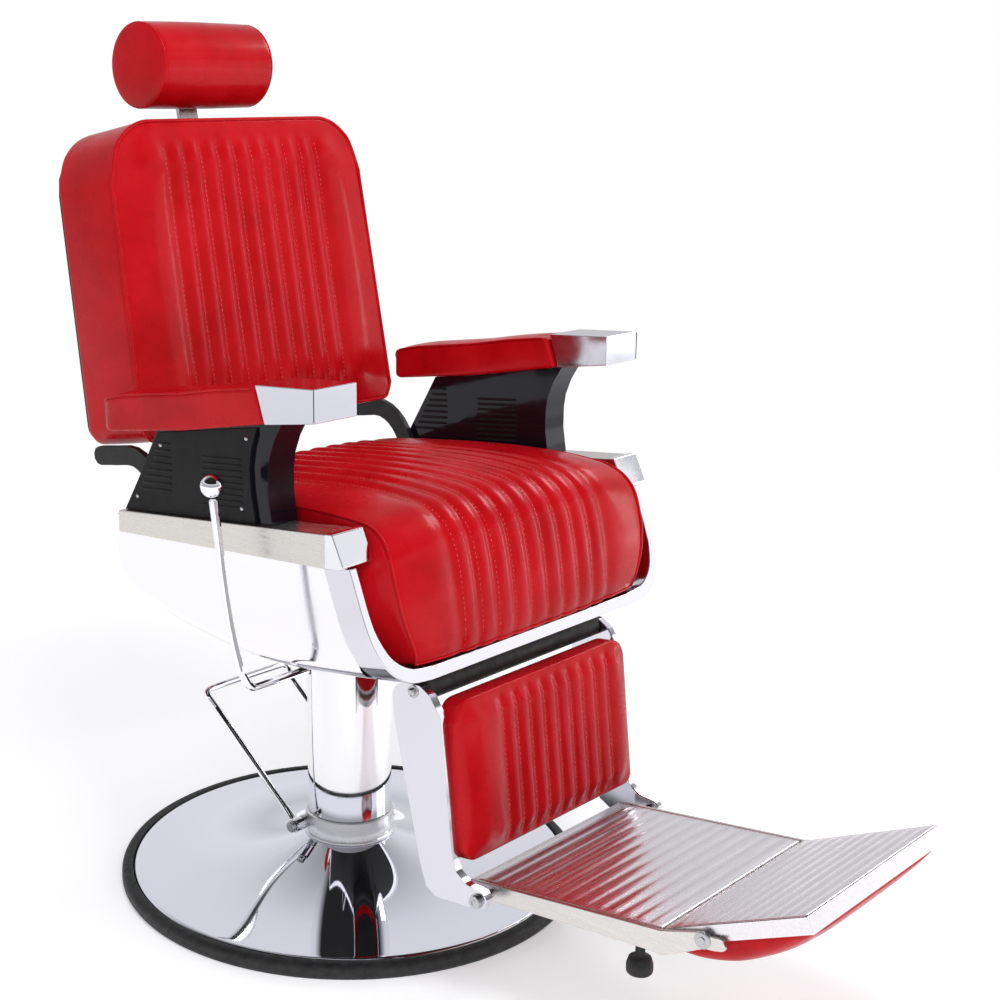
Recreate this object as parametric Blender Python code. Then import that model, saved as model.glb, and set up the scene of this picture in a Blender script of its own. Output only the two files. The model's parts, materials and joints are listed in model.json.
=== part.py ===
"""A hydraulic barber chair, in metres. +Z is up, the front of the chair faces -Y, and the origin is
the point on the floor under the middle of the round base. "right" is the sitter's right, at -X."""

import math

import bmesh
import bpy
from mathutils import Matrix, Vector

# Driving dimensions
BASE_R = 0.3432
COLUMN_R = 0.0627
SEAT_TILT = math.radians(5.6)
BACK_TILT = math.radians(10.3)
LEG_TILT = math.radians(6.8)
FLIP_TILT = math.radians(24.2)
RAIL_OUT = 0.312
RAIL_IN = 0.262
RAIL_Z = 0.6024
SHELL_HALF = 0.281
SHELL_WALL = 0.002
TRIM_HALF = 0.3006
SEAT_HALF = 0.2430
NOSE_FLARE = 1.035
BACK_HALF = 0.2516
ARM_IN = 0.248
ARM_OUT = 0.327
LEG_ARM_IN = 0.183
LEG_ARM_OUT = 0.195
TREAD_HALF = 0.160
CHEEK_OUT = 0.166
GAP = 0.0004

# Joint axes, as (y, z) or (x, y, z)
PEDAL_AXIS = Vector((0, 0.030, 0.083))
SEAT_AXIS = Vector((0, 0, 0.4155))
BACK_AXIS = Vector((0, 0.090, 0.530))
LEG_AXIS = Vector((0, -0.300, 0.408))
FOOT_AXIS = Vector((0, -0.409, 0.1575))
FLIP_AXIS = Vector((0, -0.716, 0.208))
LEVER_AXIS = Vector((-0.30, -0.150, 0.4110))
LUG_REACH = 0.045
LUG_ANGLE = math.radians(40)
LUG_AXIS = BACK_AXIS + Vector((0, LUG_REACH * math.sin(LUG_ANGLE), -LUG_REACH * math.cos(LUG_ANGLE)))
STRUT_REACH = 0.024
STRUT_LUG = BACK_AXIS + (LUG_AXIS - BACK_AXIS) * (STRUT_REACH / LUG_REACH)
LINK_END = Vector((0, -0.270, 0.374))
STRUT_AXIS = Vector((-0.205, -0.130, 0.470))
HEADREST_AXIS = Vector((-0.003, 0.314, 1.176))
HEADREST_R = 0.0635

BACK_UP = Vector((0, math.sin(BACK_TILT), math.cos(BACK_TILT)))
BACK_OUT = Vector((0, -math.cos(BACK_TILT), math.sin(BACK_TILT)))
BACK_SEAM = Vector((0, 0.165, 0.766))

MATERIALS = {
    "chrome": ((0.86, 0.86, 0.88), 0.06, 1.0),
    "brushed": ((0.72, 0.70, 0.67), 0.28, 1.0),
    "iron": ((0.12, 0.12, 0.13), 0.6, 0.6),
    "steel": ((0.55, 0.56, 0.58), 0.3, 1.0),
    "black_steel": ((0.02, 0.02, 0.022), 0.35, 0.3),
    "gloss_black": ((0.012, 0.012, 0.016), 0.1, 0.0),
    "matt_black": ((0.02, 0.02, 0.02), 0.5, 0.0),
    "rubber": ((0.015, 0.015, 0.015), 0.75, 0.0),
    "red_vinyl": ((0.55, 0.012, 0.018), 0.25, 0.0),
    "board": ((0.30, 0.20, 0.12), 0.7, 0.0),
    "tread": ((0.80, 0.79, 0.80), 0.25, 1.0),
}

PIVOTS = {}


# ---------------------------------------------------------------- scene and helpers


def clear_scene():
    for obj in list(bpy.data.objects):
        bpy.data.objects.remove(obj)


def make_materials():
    for name, (colour, roughness, metallic) in MATERIALS.items():
        made = bpy.data.materials.new(name)
        made.use_nodes = True
        made.diffuse_color = (*colour, 1)
        shader = made.node_tree.nodes["Principled BSDF"]
        shader.inputs["Base Color"].default_value = (*colour, 1)
        shader.inputs["Roughness"].default_value = roughness
        shader.inputs["Metallic"].default_value = metallic


def pivot(name, place, parent=None):
    """An empty on a joint's axis. Everything that turns or slides there is parented to it."""
    empty = bpy.data.objects.new(f"{name}_axis", None)
    empty.empty_display_size = 0.03
    bpy.context.scene.collection.objects.link(empty)
    origin = Vector((0, 0, 0))
    if parent:
        empty.parent = PIVOTS[parent][0]
        origin = PIVOTS[parent][1]
    empty.location = place - origin
    PIVOTS[name] = (empty, place.copy())


def piece(name, bm, material, parent, cutter=False):
    """Turns a mesh in world coordinates into an object whose origin is its parent's axis."""
    empty, place = PIVOTS[parent]
    bmesh.ops.recalc_face_normals(bm, faces=bm.faces)
    bmesh.ops.transform(bm, matrix=Matrix.Translation(-place), verts=bm.verts)
    mesh = bpy.data.meshes.new(name)
    bm.to_mesh(mesh)
    bm.free()
    obj = bpy.data.objects.new(name, mesh)
    bpy.context.scene.collection.objects.link(obj)
    obj.parent = empty
    if cutter:
        obj.hide_render = True
        obj.display_type = "WIRE"
        return obj
    mesh.materials.append(bpy.data.materials[material])
    mesh.shade_smooth()
    mesh.set_sharp_from_angle(angle=math.radians(35))
    return obj


def boolean(obj, other, operation):
    modifier = obj.modifiers.new(other.name, "BOOLEAN")
    modifier.operation = operation
    modifier.solver = "MANIFOLD"  # EXACT leaves open edges where the bars and rings here meet
    modifier.object = other


def helper(obj, bm, operation):
    """Cuts a shape out of obj, or joins it on, through a hidden helper object."""
    name = f"{obj.name}_{operation.lower()}_{len(obj.modifiers)}"
    other = piece(name, bm, None, obj.parent.name.removesuffix("_axis"), cutter=True)
    boolean(obj, other, operation)


def cut(obj, bm):
    helper(obj, bm, "DIFFERENCE")


def join(obj, bm):
    helper(obj, bm, "UNION")


def loft(rings):
    """Quads between rings of points, each with the same count, and a face over each end."""
    bm = bmesh.new()
    loops = [[bm.verts.new(point) for point in ring] for ring in rings]
    count = len(loops[0])
    for low, high in zip(loops, loops[1:]):
        for i in range(count):
            j = (i + 1) % count
            bm.faces.new((low[i], low[j], high[j], high[i]))
    bm.faces.new(reversed(loops[0]))
    bm.faces.new(loops[-1])
    return bm


def side_prism(outline, x_low, x_high):
    """An outline of (y, z) points, extruded along X."""
    return loft([[(x, y, z) for y, z in outline] for x in (x_low, x_high)])


def box(low, high):
    outline = [(low[1], low[2]), (high[1], low[2]), (high[1], high[2]), (low[1], high[2])]
    return side_prism(outline, low[0], high[0])


def turned(profile, segments, centre=(0, 0, 0), along="Z"):
    """A closed profile of (radius, height) points turned about an axis. A radius of 0 is on the axis."""
    bm = bmesh.new()
    rings = []
    for radius, height in profile:
        if radius == 0:
            rings.append([bm.verts.new((0, 0, height))])
            continue
        angles = [2 * math.pi * (i + 0.5) / segments for i in range(segments)]
        rings.append([bm.verts.new((radius * math.cos(a), radius * math.sin(a), height)) for a in angles])
    for one, two in zip(rings, rings[1:] + rings[:1]):
        if len(one) == 1 and len(two) == 1:
            continue
        for i in range(segments):
            j = (i + 1) % segments
            corners = [one[i % len(one)], one[j % len(one)], two[j % len(two)], two[i % len(two)]]
            bm.faces.new(list(dict.fromkeys(corners)))
    if along == "X":
        bmesh.ops.transform(bm, matrix=Matrix.Rotation(math.pi / 2, 4, "Y"), verts=bm.verts)
    bmesh.ops.transform(bm, matrix=Matrix.Translation(centre), verts=bm.verts)
    return bm


def rod_x(centre, radius, x_low, x_high, segments=16):
    """A round bar along X through centre's y and z."""
    profile = [(0, x_low), (radius, x_low), (radius, x_high), (0, x_high)]
    return turned(profile, segments, (0, centre[1], centre[2]), "X")


def rounded(corners, radii, steps=4):
    """A 2-D outline with each corner replaced by an arc. A radius of 0 keeps the corner."""
    points = []
    count = len(corners)
    for i, corner in enumerate(corners):
        radius = radii[i] if isinstance(radii, (list, tuple)) else radii
        here = Vector(corner)
        if radius == 0:
            points.append(tuple(here))
            continue
        back = (Vector(corners[i - 1]) - here).normalized()
        ahead = (Vector(corners[(i + 1) % count]) - here).normalized()
        half = back.angle(ahead) / 2
        centre = here + (back + ahead).normalized() * (radius / math.sin(half))
        start = here + back * (radius / math.tan(half)) - centre
        end = here + ahead * (radius / math.tan(half)) - centre
        sweep = start.angle_signed(end)
        for step in range(steps + 1):
            turn = Matrix.Rotation(-sweep * step / steps, 2)
            points.append(tuple(centre + turn @ start))
    return points


def strap(path, width, steps=5):
    """The outline of a flat bar of this width, whose middle follows (y, z) points, with round ends."""
    points = [Vector(p) for p in path]
    sides = ([], [])
    for i, point in enumerate(points):
        before = points[max(i - 1, 0)]
        after = points[min(i + 1, len(points) - 1)]
        along = (after - before).normalized()
        across = Vector((-along.y, along.x)) * width / 2
        sides[0].append(tuple(point + across))
        sides[1].append(tuple(point - across))
    ends = []
    for point, other in ((points[-1], points[-2]), (points[0], points[1])):
        out = (point - other).normalized() * width / 2
        cap = []
        for step in range(1, steps):
            angle = math.pi / 2 - math.pi * step / steps
            cap.append(tuple(point + Matrix.Rotation(angle, 2) @ out))
        ends.append(cap)
    return sides[0] + ends[0] + sides[1][::-1] + ends[1]


def smooth_path(points, steps=4):
    """Catmull-Rom points through the given 2-D or 3-D points."""
    points = [Vector(p) for p in points]
    padded = [2 * points[0] - points[1], *points, 2 * points[-1] - points[-2]]
    made = []
    for a, b, c, d in zip(padded, padded[1:], padded[2:], padded[3:]):
        for step in range(steps):
            t = step / steps
            made.append(0.5 * (2 * b + (c - a) * t + (2 * a - 5 * b + 4 * c - d) * t**2
                               + (3 * b - a - 3 * c + d) * t**3))
    return [*made, points[-1]]


def bend(points, radius, steps=4):
    """A 3-D path whose inner corners are arcs of roughly this radius."""
    points = [Vector(p) for p in points]
    made = [points[0]]
    for before, here, after in zip(points, points[1:], points[2:]):
        back = (before - here).normalized()
        ahead = (after - here).normalized()
        reach = min(radius / math.tan(back.angle(ahead) / 2), (before - here).length / 2.1,
                    (after - here).length / 2.1)
        if reach < 0.0015:
            made.append(here)
            continue
        start = here + back * reach
        end = here + ahead * reach
        for step in range(steps + 1):
            t = step / steps
            made.append((1 - t) ** 2 * start + 2 * t * (1 - t) * here + t**2 * end)
    return [*made, points[-1]]


def tube(path, radii, sides=10):
    """A round bar along a 3-D path, with one radius or one for each point."""
    path = [Vector(p) for p in path]
    if not isinstance(radii, (list, tuple)):
        radii = [radii] * len(path)
    tangents = []
    for i in range(len(path)):
        before = path[max(i - 1, 0)]
        after = path[min(i + 1, len(path) - 1)]
        tangents.append((after - before).normalized())
    normal = tangents[0].orthogonal().normalized()
    rings = []
    for i, (point, tangent) in enumerate(zip(path, tangents)):
        if i:
            normal = tangents[i - 1].rotation_difference(tangent) @ normal
        side = tangent.cross(normal)
        angles = [2 * math.pi * k / sides for k in range(sides)]
        rings.append([point + (normal * math.cos(a) + side * math.sin(a)) * radii[i] for a in angles])
    return loft(rings)


def mirrored_x(low, high, side):
    """The x range low..high on the left (side 1) or right (side -1), lowest first."""
    return (low, high) if side > 0 else (-high, -low)


def rail_top(y):
    return RAIL_Z - math.tan(SEAT_TILT) * y


def rail_bottom(y):
    return rail_top(y) - 0.0345 + 0.0325 * y


# ---------------------------------------------------------------- base and pump


def base_height(r):
    """The height of the spun base cover's top: nearly flat at the rim, flaring up to the collar."""
    return 0.0205 + 0.0405 * ((0.326 - r) / (0.326 - 0.067)) ** 3.0


def make_base():
    weight = [(0, 0), (0.290, 0), (0.290, 0.010), (0.070, 0.014), (0.070, 0.024), (0, 0.024)]
    piece("base_weight", turned(weight, 32), "iron", "base")
    radii = [0.0545, 0.067, 0.078, 0.092, 0.112, 0.140, 0.180, 0.235, 0.290, 0.326]
    top = [(r, min(base_height(r), 0.061)) for r in radii]
    under = [(r, z - 0.002) for r, z in top]
    cover = [*top, (0.326, 0.008), (0.324, 0.008), (0.324, 0.0185), *under[-2::-1]]
    piece("base_cover", turned(cover, 48), "chrome", "base")
    ring = [(0.3265, 0), (0.3405, 0), (BASE_R, 0.003), (BASE_R, 0.014), (0.3405, 0.0195),
            (0.336, 0.022), (0.330, 0.022), (0.3265, 0.0205)]
    piece("base_rim", turned(ring, 48), "rubber", "base")
    tank = [(0, 0.0245), (0.050, 0.0245), (0.050, 0.400), (0.031, 0.400), (0.031, 0.040), (0, 0.040)]
    piece("pump_cylinder", turned(tank, 32), "steel", "base")
    collar = [(0.0508, 0.0615), (0.068, 0.0615), (0.0685, 0.064), (0.067, 0.068), (0.0665, 0.0960),
              (0.0508, 0.0960)]
    obj = piece("pump_collar", turned(collar, 32), "chrome", "base")
    for side in (1, -1):
        low, high = mirrored_x(0.054, 0.0735, side)
        join(obj, rod_x(PEDAL_AXIS, 0.0100, low, high, 12))
        low, high = mirrored_x(0.060, 0.0930, side)
        join(obj, rod_x(PEDAL_AXIS, 0.0045, low, high, 12))
        low, high = mirrored_x(0.0905, 0.0965, side)
        join(obj, rod_x(PEDAL_AXIS, 0.0080, low, high, 6))


def make_pedal():
    near = [(-0.082, 0.030, 0.083), (-0.082, 0.205, 0.222), (-0.088, 0.226, 0.245)]
    far = [(-x, y, z) for x, y, z in reversed(near)]
    obj = piece("pump_pedal", tube(bend(near + far, 0.014), 0.0050), "chrome", "pedal")
    for side in (1, -1):
        low, high = mirrored_x(0.0740, 0.0900, side)
        join(obj, rod_x(PEDAL_AXIS, 0.0105, low, high, 16))
        low, high = mirrored_x(0.070, 0.094, side)
        cut(obj, rod_x(PEDAL_AXIS, 0.0052, low, high, 16))


def make_lift():
    ram = [(0, 0.050), (0.0300, 0.050), (0.0300, 0.470), (0, 0.470)]
    piece("piston_ram", turned(ram, 32), "chrome", "lift")
    inner = COLUMN_R - 0.0025
    top = SEAT_AXIS.z - 0.0005
    sleeve = [(COLUMN_R, top - 0.002), (COLUMN_R - 0.002, top), (0.0306, top), (0.0306, top - 0.004),
              (inner, top - 0.004), (inner, 0.0970), (COLUMN_R, 0.0970)]
    piece("column_sleeve", turned(sleeve, 40), "chrome", "lift")
    ring = [(0.0306, 0.4155), (0.0500, 0.4155), (0.0500, 0.4245), (0.0306, 0.4245)]
    piece("thrust_bearing", turned(ring, 24), "steel", "lift")


# ---------------------------------------------------------------- seat


def make_hub():
    socket = [(0.0312, 0.4250), (0.0480, 0.4250), (0.0480, 0.5080), (0.110, 0.5080), (0.110, 0.5160),
              (0, 0.5160), (0, 0.4710), (0.0312, 0.4710)]
    piece("seat_hub", turned(socket, 28), "iron", "seat")


def shell_outline(inset):
    """The tub's (y, z) side outline below the rails, drawn in by inset."""
    rear = 0.177 - inset
    floor = [(0.171, 0.484), (0.150, 0.465), (0.120, 0.450), (0.060, 0.435), (-0.010, 0.424),
             (-0.080, 0.418), (-0.140, 0.419), (-0.210, 0.427), (-0.3015, 0.440)]
    floor = [(y - inset * (y > 0.13), z + inset) for y, z in floor]
    top = rail_bottom(0) - 0.0006
    return [(rear, top - 0.0028 * 4), (rear, 0.505), *floor, (-0.2440, rail_bottom(-0.2440) - 0.0006)]


def shell_rings(half, inset, edge):
    """Sections across the tub: full in the middle, drawn up towards the rails near each side wall."""
    outline = shell_outline(inset)
    pull = Vector((0.0, rail_bottom(0)))
    rings = []
    for x, share in ((half, 1 - edge * 5), (half - 0.006, 1 - edge * 2.2), (half - 0.018, 1 - edge * 0.6),
                     (half - 0.036, 1)):
        ring = []
        for i, (y, z) in enumerate(outline):
            near_top = z > pull.y - 0.03
            height = z if near_top else pull.y + (z - pull.y) * share
            lean = TRIM_DOWN.y / TRIM_DOWN.z if i == len(outline) - 2 else 0
            ring.append((x, y + (height - z) * lean, height))
        rings.append(ring)
    mirror = [[(-x, y, z) for x, y, z in ring] for ring in reversed(rings)]
    return rings + mirror


def make_shell():
    obj = piece("seat_shell", loft(shell_rings(SHELL_HALF, 0, 0.028)), "chrome", "seat")
    inside = shell_rings(SHELL_HALF - SHELL_WALL, SHELL_WALL, 0.028)
    raised = []
    for ring in inside:
        ring = [list(point) for point in ring]
        ring[0][2] += 0.030
        ring[-1][2] += 0.030
        ring[-1][1] -= 0.060
        ring[-2][1] -= 0.060
        raised.append(ring)
    cut(obj, loft(raised))
    cut(obj, turned([(0, 0.39), (0.056, 0.39), (0.056, 0.45), (0, 0.45)], 24))
    cut(obj, box((0.1915, -0.32, 0.40), (0.2115, -0.050, 0.46)))
    for side in (1, -1):
        low, high = mirrored_x(0.2435, 0.2585, side)
        cut(obj, box((low, 0.165, 0.510), (high, 0.190, 0.580)))
    lug = [(-0.165, 0.432), (-0.162, 0.402), (-0.138, 0.402), (-0.135, 0.432)]
    join(obj, side_prism(lug, -0.2465, -0.2385))
    cut(obj, rod_x(LEVER_AXIS, 0.0058, -0.250, -0.235, 12))


TRIM_TOP = Vector((0, -0.2905, 0.5880))
TRIM_DOWN = Vector((0, -0.3730, -0.9278))
TRIM_DEPTH = Vector((0, 0.0440, -0.0074))


def trim_outline(inset_side, inset_low):
    """The U of the front trim as (x, distance down its sloping plane)."""
    half = TRIM_HALF - inset_side
    low = 0.158 - inset_low
    bulge = 0.030
    corners = [(half, 0), (half, low - 0.075), (half - 0.012 - bulge * 0.4, low - 0.022), (half - 0.055, low),
               (-half + 0.055, low), (-half + 0.012 + bulge * 0.4, low - 0.022), (-half, low - 0.075),
               (-half, 0)]
    radii = [0, 0.05, 0.035, 0.05, 0.05, 0.035, 0.05, 0]
    return rounded(corners, radii, 2)


def make_trim():
    outer = trim_outline(0, 0)
    inner = trim_outline(0.012, 0.016)
    ring = [TRIM_TOP + Vector((x, 0, 0)) + TRIM_DOWN * s for x, s in outer + inner[::-1]]
    back = [point + TRIM_DEPTH for point in ring]
    bm = bmesh.new()
    front_verts = [bm.verts.new(p) for p in ring]
    back_verts = [bm.verts.new(p) for p in back]
    count = len(outer)
    total = len(ring)
    for i in range(count - 1):
        j = total - 1 - i
        bm.faces.new((front_verts[i], front_verts[i + 1], front_verts[j - 1], front_verts[j]))
        bm.faces.new((back_verts[j], back_verts[j - 1], back_verts[i + 1], back_verts[i]))
    for i in range(total):
        j = (i + 1) % total
        bm.faces.new((front_verts[i], back_verts[i], back_verts[j], front_verts[j]))
    piece("front_trim", bm, "chrome", "seat")


def make_rails():
    front = -0.2620
    rear = 0.1340
    outline = [(rear, rail_top(rear)), (front, rail_top(front)), (front, rail_bottom(front)),
               (rear, rail_bottom(rear))]
    cap = [(front - GAP, rail_top(front) + 0.001), (-0.2745, 0.6305), (-0.2935, 0.5925),
           (-0.2880, 0.5890), (front - GAP, rail_bottom(front) + 0.0012)]
    for side, word in ((1, "left"), (-1, "right")):
        piece(f"rail_{word}", side_prism(outline, *mirrored_x(RAIL_IN, RAIL_OUT, side)), "brushed", "seat")
        piece(f"rail_cap_{word}", side_prism(cap, *mirrored_x(0.2605, 0.3145, side)), "chrome", "seat")


def make_seat_board():
    def slab(y, lift):
        return 0.5455 + lift - math.tan(SEAT_TILT) * (y - 0.128)

    outline = [(0.128, slab(0.128, 0)), (0.128, slab(0.128, 0.0115)), (-0.240, slab(-0.240, 0.0115)),
               (-0.240, slab(-0.240, 0))]
    piece("seat_board", side_prism(outline, -0.235, 0.235), "board", "seat")


def seat_ring(x):
    """The cushion's (y, z) outline at x: crowned on top, with a nose that rolls over the front."""
    across = abs(x) / SEAT_HALF
    crown = 0.018 * (1 - across**2)
    nose = 0.014 * (1 - across**2)
    drop = 0.004 * across**8
    top = [(0.128, 0.606), (0.120, 0.611), (0.024, 0.621), (-0.075, 0.631), (-0.169, 0.637),
           (-0.241, 0.636), (-0.285, 0.628)]
    front = [(-0.314, 0.603), (-0.329, 0.560), (-0.338, 0.515), (-0.339, 0.488), (-0.332, 0.473)]
    under = [(-0.306, 0.474), (-0.292, 0.486), (-0.262, 0.572), (-0.245, 0.5945), (0.128, 0.5580)]
    ring = [(x, y, z + (crown if y < 0.125 else 0.3 * crown) - drop) for y, z in top]
    wide = x * NOSE_FLARE
    ring += [(wide, y - nose + drop, z + crown * max(0, (z - 0.50) / 0.13)) for y, z in front]
    ring += [(x, y, z) for y, z in under]
    return ring


def make_seat_cushion():
    shares = (1, 0.985, 0.93, 0.75, 0.45, 0)
    half = [SEAT_HALF * s for s in shares]
    stations = half + [-x for x in half[-2::-1]]
    piece("seat_cushion", loft([seat_ring(x) for x in stations]), "red_vinyl", "seat")


def pad_bottom(y):
    """Height of the arm pad's underside, two straight runs that meet at y = -0.018."""
    if y > -0.018:
        return 0.722 - 0.143 * (y + 0.018)
    return 0.722 - 0.192 * (y + 0.018)


def make_arms():
    front = -0.158
    pad = [(0.122, pad_bottom(0.122)), (0.139, 0.720), (0.145, 0.740), (0.139, 0.757), (0.118, 0.767),
           (-0.021, 0.788), (-0.090, 0.7945), (front, 0.7975), (-0.1735, pad_bottom(-0.1735)),
           (-0.018, pad_bottom(-0.018))]
    cap = [(front - GAP, 0.7985), (-0.259, 0.805), (-0.2595, 0.7640), (-0.1745, 0.7515)]
    support = [(0.132, rail_top(0.132) + GAP), (0.062, pad_bottom(0.062) - 0.0008),
               (-0.018, pad_bottom(-0.018) - 0.0008), (-0.142, pad_bottom(-0.142) - 0.0008),
               (-0.142, rail_top(-0.142) + GAP)]
    pillar = [(-0.1392, pad_bottom(-0.1392) - 0.0008), (-0.179, 0.7505), (-0.165, 0.728), (-0.1560, 0.705),
              (-0.1530, 0.685), (-0.1530, 0.655), (-0.1590, rail_top(-0.159) + GAP),
              (-0.1392, rail_top(-0.1392) + GAP)]
    cover = [(0.1300, rail_top(0.1300) + 0.0008), (0.0560, 0.7060), (-0.1340, 0.7390), (-0.1235, 0.712),
             (-0.1190, 0.685), (-0.1215, 0.655), (-0.1290, rail_top(-0.1290) + 0.0008)]
    screws = ((-0.1145, 0.7225), (0.052, 0.690), (0.103, 0.6125), (-0.1045, 0.6310))
    for side, word in ((1, "left"), (-1, "right")):
        obj = piece(f"arm_pad_{word}", side_prism(pad, *mirrored_x(ARM_IN, ARM_OUT, side)), "red_vinyl", "seat")
        bevel = obj.modifiers.new("round", "BEVEL")
        bevel.width = 0.009
        bevel.segments = 2
        bevel.limit_method = "ANGLE"
        bevel.angle_limit = math.radians(60)
        piece(f"arm_cap_{word}", side_prism(cap, *mirrored_x(0.2545, 0.3275, side)), "chrome", "seat")
        obj = piece(f"arm_support_{word}", side_prism(support, *mirrored_x(0.2575, 0.2980, side)),
                    "gloss_black", "seat")
        join(obj, side_prism(pillar, *mirrored_x(0.2575, 0.3020, side)))
        obj = piece(f"side_cover_{word}", side_prism(cover, *mirrored_x(0.2985, 0.3025, side)),
                    "matt_black", "seat")
        for i, (y, z) in enumerate(screws):
            outer = mirrored_x(0.2950, 0.3060, side)
            cut(obj, rod_x((0, y, z), 0.0030, *outer, 10))
            head = rod_x((0, y, z), 0.0026, *mirrored_x(0.2985, 0.3040, side), 8)
            piece(f"cover_screw_{word}_{i + 1}", head, "steel", "seat")


def make_back_shaft():
    piece("back_shaft", rod_x(BACK_AXIS, 0.0075, -0.2785, 0.2785, 16), "steel", "seat")


def make_leg_bracket():
    """A plate under the front of the tub, with two ears that carry the leg rest's shaft."""
    plate = [(-0.238, 0.4295), (-0.238, 0.4255), (-0.3005, 0.4335), (-0.3005, 0.4385)]
    obj = piece("leg_bracket", side_prism(plate, -0.178, 0.178), "black_steel", "seat")
    ear = [(-0.240, 0.4270), (-0.2640, 0.4120), (-0.2850, 0.4010), (-0.3000, 0.3975), (-0.3090, 0.4020),
           (-0.3105, 0.4100), (-0.3060, 0.4185), (-0.2960, 0.4340)]
    for side in (1, -1):
        join(obj, side_prism(ear, *mirrored_x(0.170, 0.178, side)))
        cut(obj, rod_x(LEG_AXIS, 0.0065, *mirrored_x(0.160, 0.190, side), 16))


def make_strut_anchor():
    """A plate that hangs from the seat board beside the hub and carries the strut's rear pin."""
    y, z = STRUT_AXIS.y, STRUT_AXIS.z
    top = 0.5455 - math.tan(SEAT_TILT) * (y - 0.128) - GAP
    plate = [(y - 0.013, z - 0.010), (y + 0.013, z - 0.010), (y + 0.013, top - 0.0030), (y - 0.013, top - 0.0004)]
    obj = piece("strut_anchor", side_prism(plate, -0.1830, -0.1790), "black_steel", "seat")
    join(obj, rod_x(STRUT_AXIS, 0.0040, -0.2180, -0.1810, 12))


# ---------------------------------------------------------------- strut, drag link and lever


def make_strut():
    """A locking gas strut: an eye and tube on the seat's pin, and a rod that reaches for the back's lug."""
    ahead = (STRUT_LUG - Vector((0, STRUT_AXIS.y, STRUT_AXIS.z))).normalized()
    start = STRUT_AXIS + ahead * 0.007
    mouth = STRUT_AXIS + ahead * 0.150
    obj = piece("strut_cylinder", tube([start, mouth], 0.0100, 12), "black_steel", "strut")
    join(obj, rod_x(STRUT_AXIS, 0.0100, -0.2110, -0.1990, 14))
    cut(obj, tube([start + ahead * 0.020, mouth + ahead * 0.01], 0.0050, 12))
    cut(obj, rod_x(STRUT_AXIS, 0.0046, -0.2200, -0.1900, 14))
    tail = STRUT_AXIS + ahead * 0.100
    near = Vector((STRUT_AXIS.x, STRUT_LUG.y, STRUT_LUG.z)) - ahead * 0.006
    rod = piece("strut_rod", tube([tail, near], 0.0042, 12), "chrome", "strut_rod")
    join(rod, rod_x(STRUT_LUG, 0.0110, -0.2090, -0.2010, 14))
    cut(rod, rod_x(STRUT_LUG, 0.0064, -0.2200, -0.1900, 14))


def make_drag_link():
    """The bar that carries the back's motion forward to the leg rest. Its front eye is left open."""
    path = [(LUG_AXIS.y, LUG_AXIS.z), (LINK_END.y, LINK_END.z)]
    obj = piece("drag_link", side_prism(strap(path, 0.0150), 0.1985, 0.2045), "black_steel", "drag_link")
    cut(obj, rod_x(LUG_AXIS, 0.0056, 0.190, 0.210, 14))
    cut(obj, rod_x(LINK_END, 0.0056, 0.190, 0.210, 14))


def make_lever():
    knob = Vector((-0.3515, -0.1045, 0.6690))
    path = [knob + Vector((0.0005, -0.002, -0.016)), (-0.3505, -0.1185, 0.5640), (-0.3500, -0.1340, 0.4800),
            (-0.3470, -0.1470, 0.4350), (-0.3350, -0.150, 0.4110),
            (-0.2340, -0.150, 0.4110)]
    route = bend(path, 0.018)
    radii = [0.0068 - 0.0016 * min(1, (knob.z - p.z) / 0.10) for p in route]
    piece("recline_lever", tube(route, radii), "chrome", "lever")
    ball = []
    for step in range(9):
        angle = math.pi * step / 8
        ball.append((0.0150 * math.sin(angle) if 0 < step < 8 else 0, -0.0150 * math.cos(angle)))
    piece("lever_knob", turned(ball, 16, knob), "chrome", "lever")


# ---------------------------------------------------------------- backrest and headrest


def on_back(x, up, out):
    return BACK_SEAM + Vector((x, 0, 0)) + BACK_UP * up + BACK_OUT * out


def back_outline(inset, radius_drop=0.0):
    low = -0.0985 + inset
    high = 0.3410 - inset
    wide = BACK_HALF + 0.002 - inset
    narrow = BACK_HALF - 0.0110 - inset
    corners = [(-wide, low), (wide, low), (narrow, high), (-narrow, high)]
    radii = [0.022 - radius_drop, 0.022 - radius_drop, 0.080 - radius_drop, 0.080 - radius_drop]
    return rounded(corners, radii, 5)


def back_ring(inset, out, radius_drop=0.0):
    return [on_back(x, up, out) for x, up in back_outline(inset, radius_drop)]


def make_back():
    board = [back_ring(0.010, -0.1345), back_ring(0.006, -0.1310), back_ring(0.006, -0.1245)]
    piece("back_board", loft(board), "gloss_black", "back")
    stations = ((0.003, -0.1240), (0, -0.119), (0, -0.020), (0.003, -0.004), (0.016, 0.004), (0.060, 0.011))
    rings = [back_ring(inset, out, min(inset, 0.020)) for inset, out in stations]
    obj = piece("back_cushion", loft(rings), "red_vinyl", "back")
    cut(obj, back_box((-0.024, 0.180, -0.1180), (0.024, 0.360, -0.0940)))
    socket = piece("headrest_socket", back_box((-0.0235, 0.1810, -0.1175), (0.0235, 0.3360, -0.0945)),
                   "steel", "back")
    cut(socket, back_box((-0.0185, 0.1700, -0.1110), (0.0185, 0.3500, -0.1010)))


def back_box(low, high):
    """A box in the backrest's own directions: x, up the back, out of its front face."""
    rings = []
    for up in (low[1], high[1]):
        corners = ((low[0], low[2]), (high[0], low[2]), (high[0], high[2]), (low[0], high[2]))
        rings.append([on_back(x, up, out) for x, out in corners])
    return loft(rings)


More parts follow.
